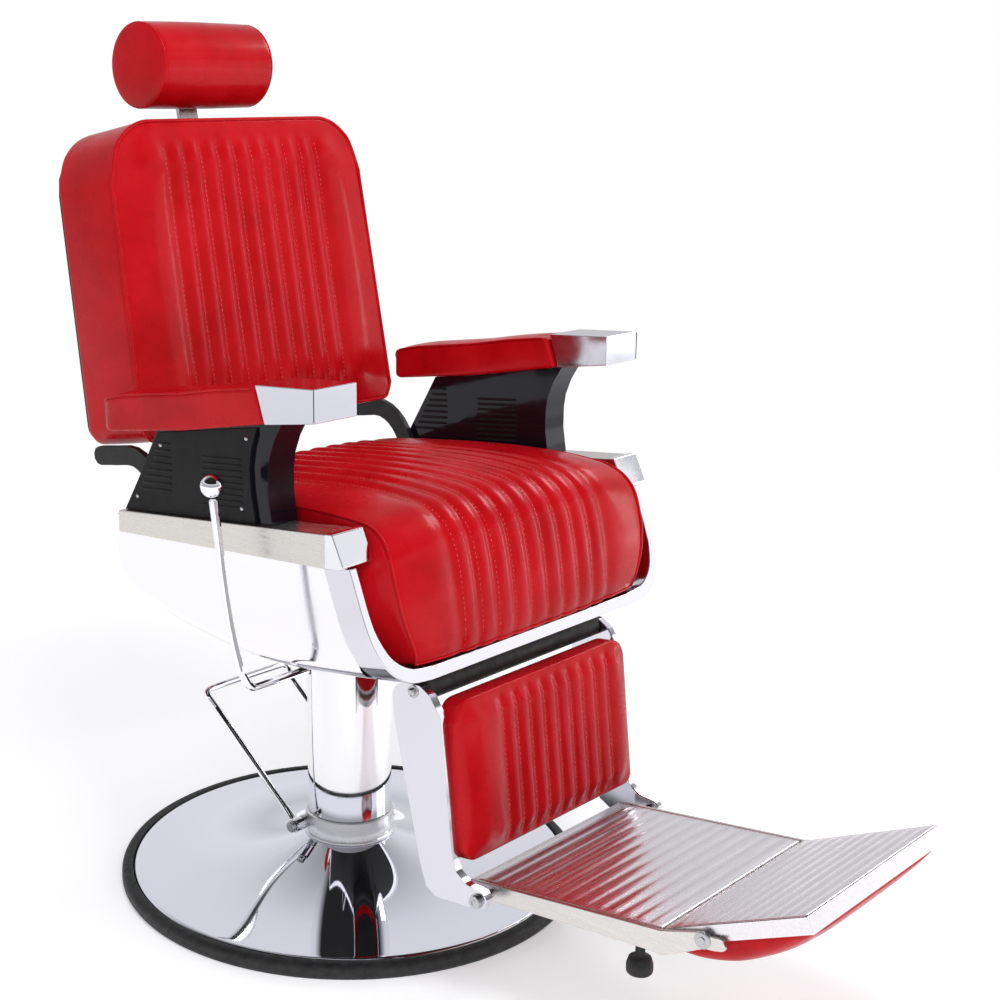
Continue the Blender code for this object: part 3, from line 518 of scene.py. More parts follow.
def make_shell():
    """The chrome tub, with the CAD tub's side outline and softly rolled lower corners."""
    low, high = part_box("seat_shell")
    half = high.x
    rear = high.y
    floor = [(rear, 0.505), (rear - 0.004, 0.486), (rear - 0.022, 0.4665), (rear - 0.054, 0.4515), (0.060, 0.4362),
             (-0.010, 0.4252), (-0.080, 0.4190), (-0.140, 0.4196), (-0.210, 0.4270), (-0.296, 0.4392)]
    path = [Vector(p) for p in smooth(floor, 6)]
    top = high.z
    front_top = Vector((-0.2440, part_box("rail_cap_right")[0].z - 0.002))
    rear_top = Vector((rear, top - 0.012))
    lean = (path[-1].x - front_top.x) / (path[-1].y - front_top.y)
    roll, lift = 0.034, 0.150
    xs = [half - roll * (1 - math.cos(math.pi / 2 * i / 8)) for i in range(9)]
    xs = sorted([*xs, NOTCH[0], NOTCH[1], half - 0.060], reverse=True)

    def lifted(x):
        """How far the floor is drawn up towards the wall at this distance from the middle."""
        share = min(1.0, (half - x) / roll)
        return lift * (1 - math.sin(math.acos(1 - share)))

    stations = [(half, lift), *[(x, lifted(x)) for x in xs[1:]]]
    rings = []
    for x, share in stations + [(-x, s) for x, s in stations[::-1]]:
        ring = [Vector((x, rear_top.x, rear_top.y))]
        for y, z in path:
            height = z + (rear_top.y - z) * share * min(1, (rear_top.y - z) / 0.10)
            ring.append(Vector((x, y, height)))
        last = ring[-1]
        ring[-1] = Vector((x, front_top.x + (last.z - front_top.y) * lean, last.z))
        ring.append(Vector((x, front_top.x, front_top.y)))
        rings.append(ring)
    bm = bmesh.new()
    loops = [[bm.verts.new(p) for p in ring] for ring in rings]
    for one, two in zip(loops, loops[1:]):
        middle = abs(one[0].co.x + two[0].co.x) / 2
        notched = NOTCH[0] < middle < NOTCH[1]
        for i in range(1 if notched else 0, len(one) - 1):
            bm.faces.new((one[i], one[i + 1], two[i + 1], two[i]))
    bm.faces.new(loops[0])
    bm.faces.new(loops[-1][::-1])
    obj = piece("seat_shell_plated", bm, "shell_chrome", "seat", ("seat_shell",), 50)
    # The flat underside gets black powder coat. This is painted shade: a dark sheet in place of the dark open space
    # under the tub, which the chrome base mirrors as a black fan.
    obj.data.materials.append(LOOKS["powder_black"])
    for face in obj.data.polygons:
        if face.normal.z < -0.85 and abs(face.center.x) < half - roll:
            face.material_index = 1
    wall = obj.modifiers.new("sheet", "SOLIDIFY")
    wall.thickness = 0.0012
    wall.offset = -1
    flat = obj.modifiers.new("flat_faces", "WEIGHTED_NORMAL")
    flat.keep_sharp = True


def make_trim():
    """The U-shaped front trim: a narrow bright face and a deep side that runs back to the tub."""
    low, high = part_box("front_trim")
    half = high.x
    deep = Vector((0, 0.0440, -0.0074))
    top = Vector((0, high.y - deep.y, high.z))
    bottom = Vector((0, low.y, low.z - deep.z))
    down = bottom - top
    reach = down.length
    down.normalize()

    def outline(inset_side, inset_low):
        wide = half - inset_side
        tall = reach - inset_low
        points = [(wide, 0)]
        points += smooth([(wide, tall * 0.10), (wide, tall * 0.44), (wide - 0.0045, tall * 0.64),
                          (wide - 0.0185, tall * 0.84), (wide - 0.046, tall * 0.965), (wide - 0.084, tall)], 6)
        return [(x, s) for x, s in points] + [(-x, s) for x, s in points[::-1]]

    outer = outline(0, 0)
    inner = outline(0.0120, 0.0160)
    lips = ((outer, 0.0), (inner, 0.0), (inner, 0.5), (inner, 1.0), (outer, 1.0))
    bm = bmesh.new()
    loops = []
    for edge, depth in lips:
        loops.append([bm.verts.new(top + Vector((x, 0, 0)) + down * s + deep * depth) for x, s in edge])
    for one, two in zip(loops, loops[1:] + loops[:1]):
        for i in range(len(one) - 1):
            bm.faces.new((one[i], one[i + 1], two[i + 1], two[i]))
    bm.faces.new([loop[0] for loop in loops])
    bm.faces.new([loop[-1] for loop in loops[::-1]])
    obj = piece("front_trim_plated", bm, "arm_plating", "seat", ("front_trim",), 30)
    bevelled(obj, 0.0012, 3, 40)


def make_rails():
    for side, word in SIDES:
        refined(f"rail_{word}", "rail_metal", 0.0014, 3)
        refined(f"rail_cap_{word}", "chrome_panel", 0.0014, 3)


def support_line(outline, height):
    """The y values where a horizontal line crosses a closed (y, z) outline, lowest first."""
    found = []
    for (y1, z1), (y2, z2) in zip(outline, outline[1:] + outline[:1]):
        if (z1 - height) * (z2 - height) < 0:
            found.append(y1 + (y2 - y1) * (height - z1) / (z2 - z1))
    return sorted(found)


def make_side_covers():
    """Ribbed covers over both faces of each arm support, with four small screws on each outer face."""
    low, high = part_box("side_cover_left")
    face = high.x
    inner_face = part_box("arm_support_left")[0].x
    front, rear, bottom, top = low.y, high.y, low.z, high.z
    tall = top - bottom
    for side, word in SIDES:
        refined(f"side_cover_{word}", "moulded_black", 0.0008, 2)
        refined(f"arm_support_{word}", "gloss_black", 0.0045, 4, 40)
        for i in range(4):
            node = f"cover_screw_{word}_{i + 1}"
            one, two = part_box(node)
            head = arc((0, 0), 0.0030, 0, 90, 5)
            profile = [(r, face + h * 0.6) for r, h in head] + [(0, face - 0.001), (0.0030, face - 0.001)]
            if side < 0:
                profile = [(r, -x) for r, x in profile]
            bm = turned(profile, 20, (0, (one.y + two.y) / 2, (one.z + two.z) / 2), "X")
            piece(f"{node}_domed", bm, "steel", "seat", (node,))
        for where, x_face, out in (("outer", face, 1), ("inner", inner_face, -1)):
            ribs = bmesh.new()
            shift = 0.0 if out > 0 else 0.006
            for group_start, group_end, count, first in ((0.10, 0.40, 9, 0.20), (0.62, 0.90, 8, 0.20)):
                for i in range(count):
                    share = first + 0.58 * i / (count - 1)
                    slope = 0.030 * (0.5 - share)
                    z_front = bottom + tall * share * 0.93 + 0.004
                    y_start = front + (rear - front) * (group_start + 0.04 * abs(share - 0.45))
                    y_end = front + (rear - front) * (group_end - (0.26 * (share - 0.1) if group_end > 0.5 else 0))
                    if y_end - y_start < 0.012:
                        continue
                    drop = 0.10 * (y_end - y_start)
                    rib_bar(ribs, Vector((0, y_start + shift, z_front + slope)),
                            Vector((0, y_end + shift, z_front + slope - drop)), x_face * side, out * side)
            piece(f"cover_ribs_{where}_{word}", ribs, "moulded_black", "seat")


def rib_bar(bm, start, end, x_face, out, width=0.0042, rise=0.0011):
    """One louvre: a low bar with a rounded back, standing on a face at x_face."""
    along = (end - start).normalized()
    across = Vector((0, -along.z, along.y))
    rings = []
    for t, size in ((0, 0.3), (0.02, 0.8), (0.05, 1), (0.95, 1), (0.98, 0.8), (1, 0.3)):
        middle = start.lerp(end, t)
        ring = []
        for share, height in ((-0.5, -0.3), (-0.42, 0.6), (-0.2, 1), (0.2, 1), (0.42, 0.6), (0.5, -0.3)):
            point = middle + across * (share * width * size)
            ring.append(Vector((x_face + out * rise * height * size, point.y, point.z)))
        rings.append(ring)
    loops = [[bm.verts.new(p) for p in ring] for ring in rings]
    for one, two in zip(loops, loops[1:]):
        for i in range(len(one)):
            j = (i + 1) % len(one)
            bm.faces.new((one[i], one[j], two[j], two[i]))
    bm.faces.new(loops[0][::-1])
    bm.faces.new(loops[-1])


def make_arm_caps():
    for side, word in SIDES:
        refined(f"arm_cap_{word}", "cap_plating", 0.0012, 3)
        low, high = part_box(f"arm_cap_{word}")
        x = high.x if side > 0 else low.x
        # A thin black line along the front fold of each cap. This is painted shade, standing in for the darker
        # reflection where the chrome turns the corner.
        path = [(x, low.y + 0.0002, 0.8035), (x, low.y + 0.0002, 0.7655)]
        piece(f"arm_cap_painted_fold_shade_{word}", tube(evenly(path, 6), 0.0006, 8), "moulded_black", "seat")


def make_lever():
    refined("recline_lever", "chrome", soften=2)
    low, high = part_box("lever_knob")
    centre = (low + high) / 2
    radius = (high.z - low.z) / 2
    profile = [(radius * math.sin(math.pi * i / 32), -radius * math.cos(math.pi * i / 32)) for i in range(33)]
    profile[0] = (0, -radius)
    profile[-1] = (0, radius)
    piece("lever_knob_polished", turned(profile, 64, centre), "chrome", "lever", ("lever_knob",), 0)


def make_back_arms():
    for side, word in SIDES:
        refined(f"back_arm_{word}", "powder_black", 0.0016, 2, 40)
    refined("back_board", "gloss_black", 0.002, 2)
    refined("headrest_socket", "steel", 0.001)
    refined("headrest_post", "steel", 0.001)


# ---------------------------------------------------------------- leg rest and footboard


def make_leg_arms():
    for side, word in SIDES:
        refined(f"leg_arm_{word}", "arm_plating", 0.0022, 3, 50)
    axis = JOINTS["leg_lift"]["pos_m"]
    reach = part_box("leg_arm_left")[0].x - 0.0015
    # A black rubber sleeve over the leg shaft, thick enough to fill the gap under the front trim. This is painted
    # shade: a dark thing standing in for the shadow in that gap.
    roll = [(0, -reach), (0.0150, -reach), (0.0170, -reach + 0.002), (0.0170, reach - 0.002), (0.0150, reach), (0, reach)]
    piece("leg_shaft_shade_sleeve", turned(roll, 40, (0, axis[1], axis[2]), "X"), "rubber", "legrest", ("leg_shaft",))
    for name in ("leg_lift", "footboard_fold"):
        axis = JOINTS[name]["pos_m"]
        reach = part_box("leg_arm_left")[1].x
        size = 0.0085 if name == "leg_lift" else 0.0100
        for side, word in SIDES:
            washer = [(0, reach), (size, reach), (size, reach + 0.0012), (size * 0.62, reach + 0.0014),
                      (size * 0.60, reach + 0.0048), (size * 0.42, reach + 0.0062), (0, reach + 0.0066)]
            profile = washer if side > 0 else [(r, -x) for r, x in washer]
            bm = turned(profile, 32, (0, axis[1], axis[2]), "X")
            piece(f"{name}_nut_{word}", bm, "steel", "legrest")


def make_foot_frame():
    """The footboard's deck between two side cheeks that deepen towards the flip-over end."""
    low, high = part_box("foot_plate")
    outer = high.x
    inner = outer - 0.0055
    deck = [(-0.3740, 0.1642), (-0.6575, 0.1980), (-0.6575, 0.1860), (-0.3740, 0.1520)]
    cheek = [(-0.3735, 0.1650), (-0.6600, 0.1992), (-0.7160, 0.2180), (-0.7225, 0.2165), (-0.7262, 0.2120),
             (-0.7268, 0.2060), (-0.7235, 0.2005), (-0.6800, 0.1765), (-0.6600, 0.1675), (-0.6440, 0.1680),
             (-0.3755, 0.1440)]
    parts = [side_prism(deck, -inner, inner)]
    for side in (1, -1):
        parts.append(side_prism(cheek, *mirrored(inner, outer, side)))
    bm = merged(parts)
    obj = piece("foot_frame", bm, "edge_metal", "footplate", ("foot_plate",))
    bevelled(obj, 0.0012, 3)
    for side, word in SIDES:
        x_low, x_high = mirrored(outer - 0.0035, outer + 0.0002, side)
        hook = smooth([(-0.7140, 0.2172), (-0.7250, 0.2158), (-0.7400, 0.2175), (low.y + 0.004, 0.2140),
                       (low.y + 0.001, 0.2085), (-0.7420, 0.2030), (-0.7260, 0.1990), (-0.7140, 0.1990)], 4)
        bevelled(piece(f"foot_ear_{word}", side_prism([tuple(p) for p in hook], x_low, x_high), "edge_metal",
                       "footplate"), 0.0008)


def merged(parts):
    """Several meshes as one."""
    whole = bmesh.new()
    for part in parts:
        mesh = bpy.data.meshes.new("part")
        part.to_mesh(mesh)
        part.free()
        whole.from_mesh(mesh)
        bpy.data.meshes.remove(mesh)
    return whole


def ribbed_sheet(start, end, normal, half, count, first, last, rise=0.0016, fade=0.010):
    """A sheet between two (y, z) edges with ridges along X, each fading out near its ends."""
    start, end, normal = Vector(start), Vector(end), Vector(normal)
    length = (end - start).length
    pitch = (last - first) / count
    along = [0.0]
    for i in range(count):
        centre = first + pitch * (i + 0.5)
        along += [centre + pitch * 0.5 * k for k in (-0.84, -0.62, -0.40, -0.18, 0.18, 0.40, 0.62, 0.84)]
    along.append(length)
    across = [-half, -half + 0.004, -half + fade * 0.6, -half + fade, -half + fade * 1.5]
    across += [-half * 0.5, 0, half * 0.5] + [-x for x in across[::-1]]
    bm = bmesh.new()
    rows = []
    for s in along:
        phase = (s - first) / pitch
        inside = first < s < last
        wave = 0.5 - 0.5 * math.cos(2 * math.pi * (phase % 1)) if inside else 0
        lift = rise * min(1.0, wave * 1.35)
        row = []
        for x in across:
            edge = min(1.0, max(0.0, (half - abs(x) - 0.004) / fade))
            point = start.lerp(end, s / length) + normal * (lift * edge)
            row.append(bm.verts.new((x, point.x, point.y)))
        rows.append(row)
    for one, two in zip(rows, rows[1:]):
        for i in range(len(one) - 1):
            bm.faces.new((one[i], one[i + 1], two[i + 1], two[i]))
    return bm


def make_footboard():
    """The main tread and the flip-over tread, each a ribbed sheet over its CAD plate."""
    make_foot_frame()
    refined("flip_plate", "tread_metal", 0.0012, 3)
    low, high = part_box("foot_plate")
    half = high.x - 0.0062
    rear, front = (-0.3752, 0.1642), (-0.6570, 0.1980)
    slope = (Vector(front) - Vector(rear)).normalized()
    normal = (-slope.y, slope.x) if slope.x > 0 else (slope.y, -slope.x)
    lift = Vector(normal) * 0.0006
    bm = ribbed_sheet(Vector(rear) + lift, Vector(front) + lift, normal, half, 13, 0.008, 0.2825, 0.0011)
    obj = piece("foot_tread", bm, "tread_metal", "footplate", sharp=0)
    thicken(obj, 0.0005)
    hinge = JOINTS["flip_over"]["pos_m"]
    tilt = math.radians(24.2)
    ahead = Vector((-math.cos(tilt), math.sin(tilt)))
    upward = Vector((math.sin(tilt), math.cos(tilt)))
    start = Vector((hinge[1], hinge[2])) + ahead * -0.0530 + upward * 0.0149
    end = Vector((hinge[1], hinge[2])) + ahead * 0.1385 + upward * 0.0149
    bm = ribbed_sheet(start, end, upward, half - 0.0015, 10, 0.006, 0.1900, 0.0009)
    obj = piece("flip_tread", bm, "tread_metal", "flip", sharp=0)
    thicken(obj, 0.0005)
    reach = high.x
    for side, word in SIDES:
        disc = [(0, reach), (0.0105, reach), (0.0105, reach + 0.0012), (0.0085, reach + 0.0022), (0.0050, reach + 0.0022),
                (0.0044, reach + 0.0034), (0, reach + 0.0036)]
        profile = disc if side > 0 else [(r, -x) for r, x in disc]
        bm = turned(profile, 36, (0, hinge[1], hinge[2]), "X")
        piece(f"flip_pin_head_{word}", bm, "steel", "footplate")
        refined(f"foot_bumper_{word}", "rubber", 0.0012, 2)


def thicken(obj, amount):
    sheet = obj.modifiers.new("sheet", "SOLIDIFY")
    sheet.thickness = amount
    sheet.offset = -1


# ---------------------------------------------------------------- soft goods


def stations(low, high, grooves, inner=4, edge=4):
    """Grid stops from low to high with one on every groove and a few inside each channel."""
    marks = [low, *grooves, high]
    stops = []
    for i, (one, two) in enumerate(zip(marks, marks[1:])):
        steps = inner if 0 < i < len(marks) - 2 else edge
        for k in range(steps):
            share = k / steps
            stops.append(one + (two - one) * share)
    return [*stops, high]


def box_grid(us, vs, ws, place):
    """A closed skin of quads over a box of grid stops. Returns the mesh and each grid point's index."""
    bm = bmesh.new()
    verts = {}

    def vert(i, j, k):
        if (i, j, k) not in verts:
            verts[i, j, k] = bm.verts.new(place(us[i], vs[j], ws[k]))
        return verts[i, j, k]

    nu, nv, nw = len(us) - 1, len(vs) - 1, len(ws) - 1
    for i in range(nu):
        for j in range(nv):
            for k in (0, nw):
                bm.faces.new([vert(i, j, k), vert(i + 1, j, k), vert(i + 1, j + 1, k), vert(i, j + 1, k)])
        for k in range(nw):
            for j in (0, nv):
                bm.faces.new([vert(i, j, k), vert(i + 1, j, k), vert(i + 1, j, k + 1), vert(i, j, k + 1)])
    for j in range(nv):
        for k in range(nw):
            for i in (0, nu):
                bm.faces.new([vert(i, j, k), vert(i, j + 1, k), vert(i, j + 1, k + 1), vert(i, j, k + 1)])
    bm.verts.index_update()
    return bm, {key: v.index for key, v in verts.items()}


def ease(value, low, high):
    """0 below low, 1 above high and a smooth step between them."""
    t = min(1.0, max(0.0, (value - low) / (high - low)))
    return t * t * (3 - 2 * t)


def channel(x, grooves, depth):
    """How far the cover sinks at x: depth in a seam, nothing midway between two of them."""
    near = min(abs(x - g) for g in grooves)
    if near > CHANNEL_PITCH / 2:
        return depth * (1 - ease(near, 0, CHANNEL_PITCH * 0.55)) if min(grooves) > x or x > max(grooves) else 0
    return depth * (1 - math.sqrt(max(0.0, 1 - (1 - near / (CHANNEL_PITCH / 2)) ** 2)))


class Cushion:
    """One upholstered piece: its mesh, what is sewn down, and how far its cover may swell."""

    def __init__(self, name, bm, body, node, pinned, cap, pressure=4.0):
        self.obj = piece(name, bm, "vinyl", body, (node,), sharp=0)
        self.pinned = pinned
        self.cap = cap
        self.pressure = pressure
        self.rest = None
        self.index = {}
        self.middle = sum((v.co for v in self.obj.data.vertices), Vector()) / len(self.obj.data.vertices)

    def edge(self, *corners):
        """Vertex numbers along grid lines through the given (i, j, k) corners."""
        found = []
        for one, two in zip(corners, corners[1:]):
            steps = max(abs(a - b) for a, b in zip(one, two))
            for step in range(steps + 1):
                key = tuple(a + (b - a) * step // steps for a, b in zip(one, two))
                if not found or found[-1] != self.index[key]:
                    found.append(self.index[key])
        return found


def simulate(cushions):
    """Blows every cover up between its seams with cloth pressure, then keeps a capped share of it."""
    scene = bpy.context.scene
    for cushion in cushions:
        obj = cushion.obj
        cushion.rest = np.array([v.co for v in obj.data.vertices])
        group = obj.vertex_groups.new(name="sewn")
        group.add(list(cushion.pinned), 1.0, "REPLACE")
        cloth = obj.modifiers.new("cloth", "CLOTH")
        settings = cloth.settings
        settings.vertex_group_mass = "sewn"
        settings.quality = 6
        settings.mass = 0.25
        settings.tension_stiffness = 12
        settings.compression_stiffness = 12
        settings.shear_stiffness = 6
        settings.bending_stiffness = 0.35
        settings.use_pressure = True
        settings.uniform_pressure_force = cushion.pressure
        settings.effector_weights.gravity = 0
        cloth.point_cache.frame_start = 1
        cloth.point_cache.frame_end = SIM_FRAMES
    for step in range(1, SIM_FRAMES + 1):
        scene.frame_set(step)
    graph = bpy.context.evaluated_depsgraph_get()
    results = []
    for cushion in cushions:
        evaluated = cushion.obj.evaluated_get(graph).to_mesh()
        results.append(np.array([v.co for v in evaluated.vertices]))
    for cushion, moved in zip(cushions, results):
        shift = moved - cushion.rest
        size = np.linalg.norm(shift, axis=1, keepdims=True)
        limit = cushion.cap * np.tanh(size / cushion.cap)
        kept = cushion.rest + shift / np.maximum(size, 1e-9) * limit
        obj = cushion.obj
        obj.modifiers.remove(obj.modifiers["cloth"])
        obj.data.vertices.foreach_set("co", kept.astype(np.float32).ravel())
        obj.data.update()
        print("swell", obj.name, "mean", float(size.mean()), "max", float(size.max()))
    scene.frame_set(1)


def soften(cushions, levels=2):
    for cushion in cushions:
        division = cushion.obj.modifiers.new("smooth", "SUBSURF")
        division.levels = division.render_levels = levels


def path_at(path, share):
    """A point at a 0..1 share of an evenly spaced path."""
    place = share * (len(path) - 1)
    index = min(int(place), len(path) - 2)
    return path[index].lerp(path[index + 1], place - index)


def make_seat():
    low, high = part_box("seat_cushion")
    half = high.x / 1.035
    rear = high.y
    top_path = evenly(smooth([(rear - 0.004, 0.600), (rear - 0.012, 0.608), (0.024, 0.6190), (-0.075, 0.6290),
                              (-0.169, 0.6350), (-0.241, 0.6340), (-0.283, 0.6265), (-0.311, 0.6020),
                              (-0.3265, 0.560), (-0.3355, 0.515), (-0.3380, 0.482), (-0.3340, 0.4600)], 6), 120)
    low_path = evenly(smooth([(rear - 0.001, 0.5600), (0.020, 0.5700), (-0.120, 0.5835), (-0.240, 0.5930),
                              (-0.262, 0.572), (-0.276, 0.520), (-0.290, 0.482), (-0.300, 0.4560)], 6), 120)

    def place(x, v, w):
        across = abs(x) / half
        crown = 0.0175 * (1 - across**2.2)
        nose = 0.0135 * (1 - across**2.2)
        drop = 0.0045 * across**8
        top = path_at(top_path, v)
        bottom = path_at(low_path, v)
        over = ease(v, 0.62, 0.80)
        rise = ease(v, 0.0, 0.05) * (1 - ease(v, 0.66, 0.97))
        sink = channel(x, SEAT_GROOVES, 0.0056) * (1 - 0.6 * ease(v, 0.93, 1.0))
        slope = (path_at(top_path, min(1, v + 0.01)) - path_at(top_path, max(0, v - 0.01))).normalized()
        inward = Vector((-slope.y, slope.x))
        top = top + Vector((-nose * over, crown * rise)) + inward * sink
        point = bottom.lerp(top, w)
        flare = 1 + (0.055 + 0.100 * (1 - w) ** 1.4) * ease(v, 0.64, 0.80)
        tuck = 1 - 0.11 * across**4 * ease(v, 0.80, 1.02) ** 2
        return Vector((x * flare * tuck, point.x, point.y - drop * w * (1 - over)))

    us = stations(-half, half, SEAT_GROOVES, 4, 6)
    vs = [i / 64 for i in range(65)]
    ws = [i / 5 for i in range(6)]
    bm, index = box_grid(us, vs, ws, place)
    pinned = set()
    last_w = len(ws) - 1
    for (i, j, k), number in index.items():
        seam = us[i] in SEAT_GROOVES and k == last_w
        edge = k == last_w and i in (0, len(us) - 1)
        hidden = k == 0 or j in (0, len(vs) - 1)
        if seam or edge or hidden:
            pinned.add(number)
    seat = Cushion("seat_cushion_cover", bm, "seat", "seat_cushion", pinned, 0.006)
    seat.index = index
    seat.corners = (len(us) - 1, len(vs) - 1, last_w)
    return seat


def back_frame():
    """The backrest's own directions: its tilt from the headrest's slide, and the way its front faces."""
    up = Vector(JOINTS["headrest_height"]["axis"]).normalized()
    out = Vector((0, -up.z, up.y))
    return up, out


def extent(node, direction):
    """Lowest and highest place of a CAD node along a direction."""
    values = [v.co.dot(direction) for v in NODES[node].data.vertices]
    return min(values), max(values)


def make_back_cushion():
    up, out = back_frame()
    low_up, high_up = extent("back_cushion", up)
    rear, front = extent("back_cushion", out)
    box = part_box("back_cushion")
    half = box[1].x
    narrow = half - 0.013
    tall = high_up - low_up
    top_radius, low_radius = 0.080, 0.022
    dome = 0.010

    def wide_at(height):
        return half + (narrow - half) * height / tall

    def limits(share):
        """The lowest and highest place of the side outline at this share of the half width."""
        inset = (1 - share) * half
        high = tall
        if inset < top_radius:
            high = tall - top_radius + math.sqrt(max(0.0, top_radius**2 - (top_radius - inset) ** 2))
        low = 0.0
        if inset < low_radius:
            low = low_radius - math.sqrt(max(0.0, low_radius**2 - (low_radius - inset) ** 2))
        return low, high

    def place(x, v, w):
        share = min(1.0, abs(x) / half)
        low, high = limits(share)
        height = low + (high - low) * v
        spread = wide_at(height) / half
        edge_x = 1 - share
        bulge = dome * ease(edge_x, 0, 0.30) * ease(v, 0, 0.16) * (1 - ease(v, 0.84, 1))
        fade = ease(height, 0.004, 0.020) * (1 - ease(height, tall - 0.044, tall - 0.022))
        sink = channel(x, BACK_GROOVES, 0.0062) * fade
        surface = front - 0.0115 + bulge - sink
        depth = rear + (surface - rear) * w
        return Vector((x * spread, 0, 0)) + up * (low_up + height) + out * depth

    us = stations(-half, half, BACK_GROOVES, 4, 9)
    vs = [i / 52 for i in range(53)]
    ws = [i / 12 for i in range(13)]
    bm, index = box_grid(us, vs, ws, place)
    pinned = set()
    last_w, last_v, last_u = len(ws) - 1, len(vs) - 1, len(us) - 1
    for (i, j, k), number in index.items():
        seam = us[i] in BACK_GROOVES and k == last_w and 0.07 < vs[j] < 0.93
        edge = k == last_w and (i in (0, last_u) or j in (0, last_v))
        hidden = k == 0
        if seam or edge or hidden:
            pinned.add(number)
    back = Cushion("back_cushion_cover", bm, "back", "back_cushion", pinned, 0.0055)
    back.index = index
    back.corners = (last_u, last_v, last_w)
    return back


def make_headrest():
    low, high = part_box("headrest_cushion")
    centre = (low + high) / 2
    half = (high.x - low.x) / 2 - 0.0015
    radius = (high.z - low.z) / 2 - 0.001
    steps = 22
    profile = [(0, -half - 0.001)]
    for r in (0.25, 0.5, 0.72, 0.88):
        profile.append((radius * r, -half - 0.001 + 0.001 * r))
    profile += [(radius - 0.0040, -half + 0.0010), (radius - 0.0012, -half + 0.0040)]
    seams = (5, 5)
    for i in range(1, steps):
        profile.append((radius - 0.0012 + 0.0012 * math.sin(math.pi * i / steps), -half + 0.004
                        + (2 * half - 0.008) * i / steps))
    profile += [(r, -x) for r, x in profile[:7][::-1]]
    bm = turned(profile, 44, centre, "X")
    bmesh.ops.rotate(bm, cent=centre, matrix=Matrix.Rotation(0.05, 3, "X"), verts=bm.verts)
    bm.verts.index_update()
    pinned = set()
    for v in bm.verts:
        reach = abs(v.co.x - centre.x)
        around = math.hypot(v.co.y - centre.y, v.co.z - centre.z)
        if reach > half - 0.0025 and around > radius - 0.0060:
            pinned.add(v.index)
    return Cushion("headrest_cover", bm, "headrest", "headrest_cushion", pinned, 0.003, 3.0)


def make_calf_pad():
    node = "calf_pad"
    low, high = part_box(node)
    tilt = math.radians(6.8)
    up = Vector((0, math.sin(tilt), math.cos(tilt)))
    out = Vector((0, -math.cos(tilt), math.sin(tilt)))
    low_up, high_up = extent(node, up)
    rear, front = extent(node, out)
    tall = high_up - 0.001 - low_up
    half = high.x
    low_radius, top_radius = 0.014, 0.026

    def limits(share):
        inset = (1 - share) * half
        high_side, low_side = tall, 0.0
        if inset < top_radius:
            high_side = tall - top_radius + math.sqrt(max(0.0, top_radius**2 - (top_radius - inset) ** 2))
        if inset < low_radius:
            low_side = low_radius - math.sqrt(max(0.0, low_radius**2 - (low_radius - inset) ** 2))
        return low_side, high_side

    def place(x, v, w):
        share = min(1.0, abs(x) / half)
        low_side, high_side = limits(share)
        height = low_side + (high_side - low_side) * v
        edge = 1 - share
        bulge = 0.0090 * ease(edge, 0, 0.20) * ease(v, 0, 0.14) * (1 - ease(v, 0.86, 1))
        fade = ease(height, 0.0, 0.018) * (1 - ease(height, tall - 0.022, tall - 0.004))
        sink = channel(x, CALF_GROOVES, 0.0050) * fade
        surface = front - 0.0100 + bulge - sink
        depth = rear + (surface - rear) * w
        return Vector((x, 0, 0)) + up * (low_up + height) + out * depth

    us = stations(-half, half, CALF_GROOVES, 4, 8)
    vs = [i / 36 for i in range(37)]
    ws = [i / 5 for i in range(6)]
    bm, index = box_grid(us, vs, ws, place)
    pinned = set()
    last_w = len(ws) - 1
    for (i, j, k), number in index.items():
        seam = us[i] in CALF_GROOVES and k == last_w and 0.06 < vs[j] < 0.90
        if seam or k == 0 or j == len(vs) - 1:
            pinned.add(number)
    return Cushion("calf_pad_cover", bm, "legrest", node, pinned, 0.004)


def make_arm_pad(side, word):
    node = f"arm_pad_{word}"
    low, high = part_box(node)
    front, rear = low.y, high.y

    def underside(y):
        knee, height = -0.018, 0.722
        slope = 0.143 if y > knee else 0.192
        return height - slope * (y - knee)

    def topside(y):
        return underside(y) + 0.0450 + 0.0035 * ease(y, front, front + 0.10) * (1 - ease(y, rear - 0.06, rear))

    def place(u, v, w):
        lean = 0.0155 * (w - 1)
        y = front + 0.0155 + (rear - front - 0.0155) * v + lean * (1 - ease(v, 0, 0.5))
        end = 1 - math.sqrt(max(0.0, 1 - max(0.0, (v - 0.94) / 0.06) ** 2))
        bottom = underside(y) + 0.012 * end
        top = topside(y) - 0.014 * end
        middle = 0.5 * (low.x + high.x)
        half = 0.5 * (high.x - low.x) - 0.0015 - 0.010 * end
        crown = 0.0035 * (1 - abs(u) ** 2.5) * ease(v, 0.0, 0.10)
        return Vector((middle + u * half, y, bottom + (top + crown - bottom) * w))

    us = [-1 + 2 * i / 12 for i in range(13)]
    vs = [i / 40 * 0.94 for i in range(40)] + [0.94 + 0.06 * math.sin(math.pi / 2 * i / 6) for i in range(7)]
    ws = [i / 7 for i in range(8)]
    bm, index = box_grid(us, vs, ws, place)
    pinned = set()
    for (i, j, k), number in index.items():
        seam = k == len(ws) - 1 and i in (0, len(us) - 1)
        if seam or k == 0 or j == 0:
            pinned.add(number)
    arm = Cushion(f"arm_pad_{word}_cover", bm, "seat", node, pinned, 0.005, 5.0)
    arm.index = index
    arm.corners = (len(us) - 1, len(vs) - 1, len(ws) - 1)
    return arm


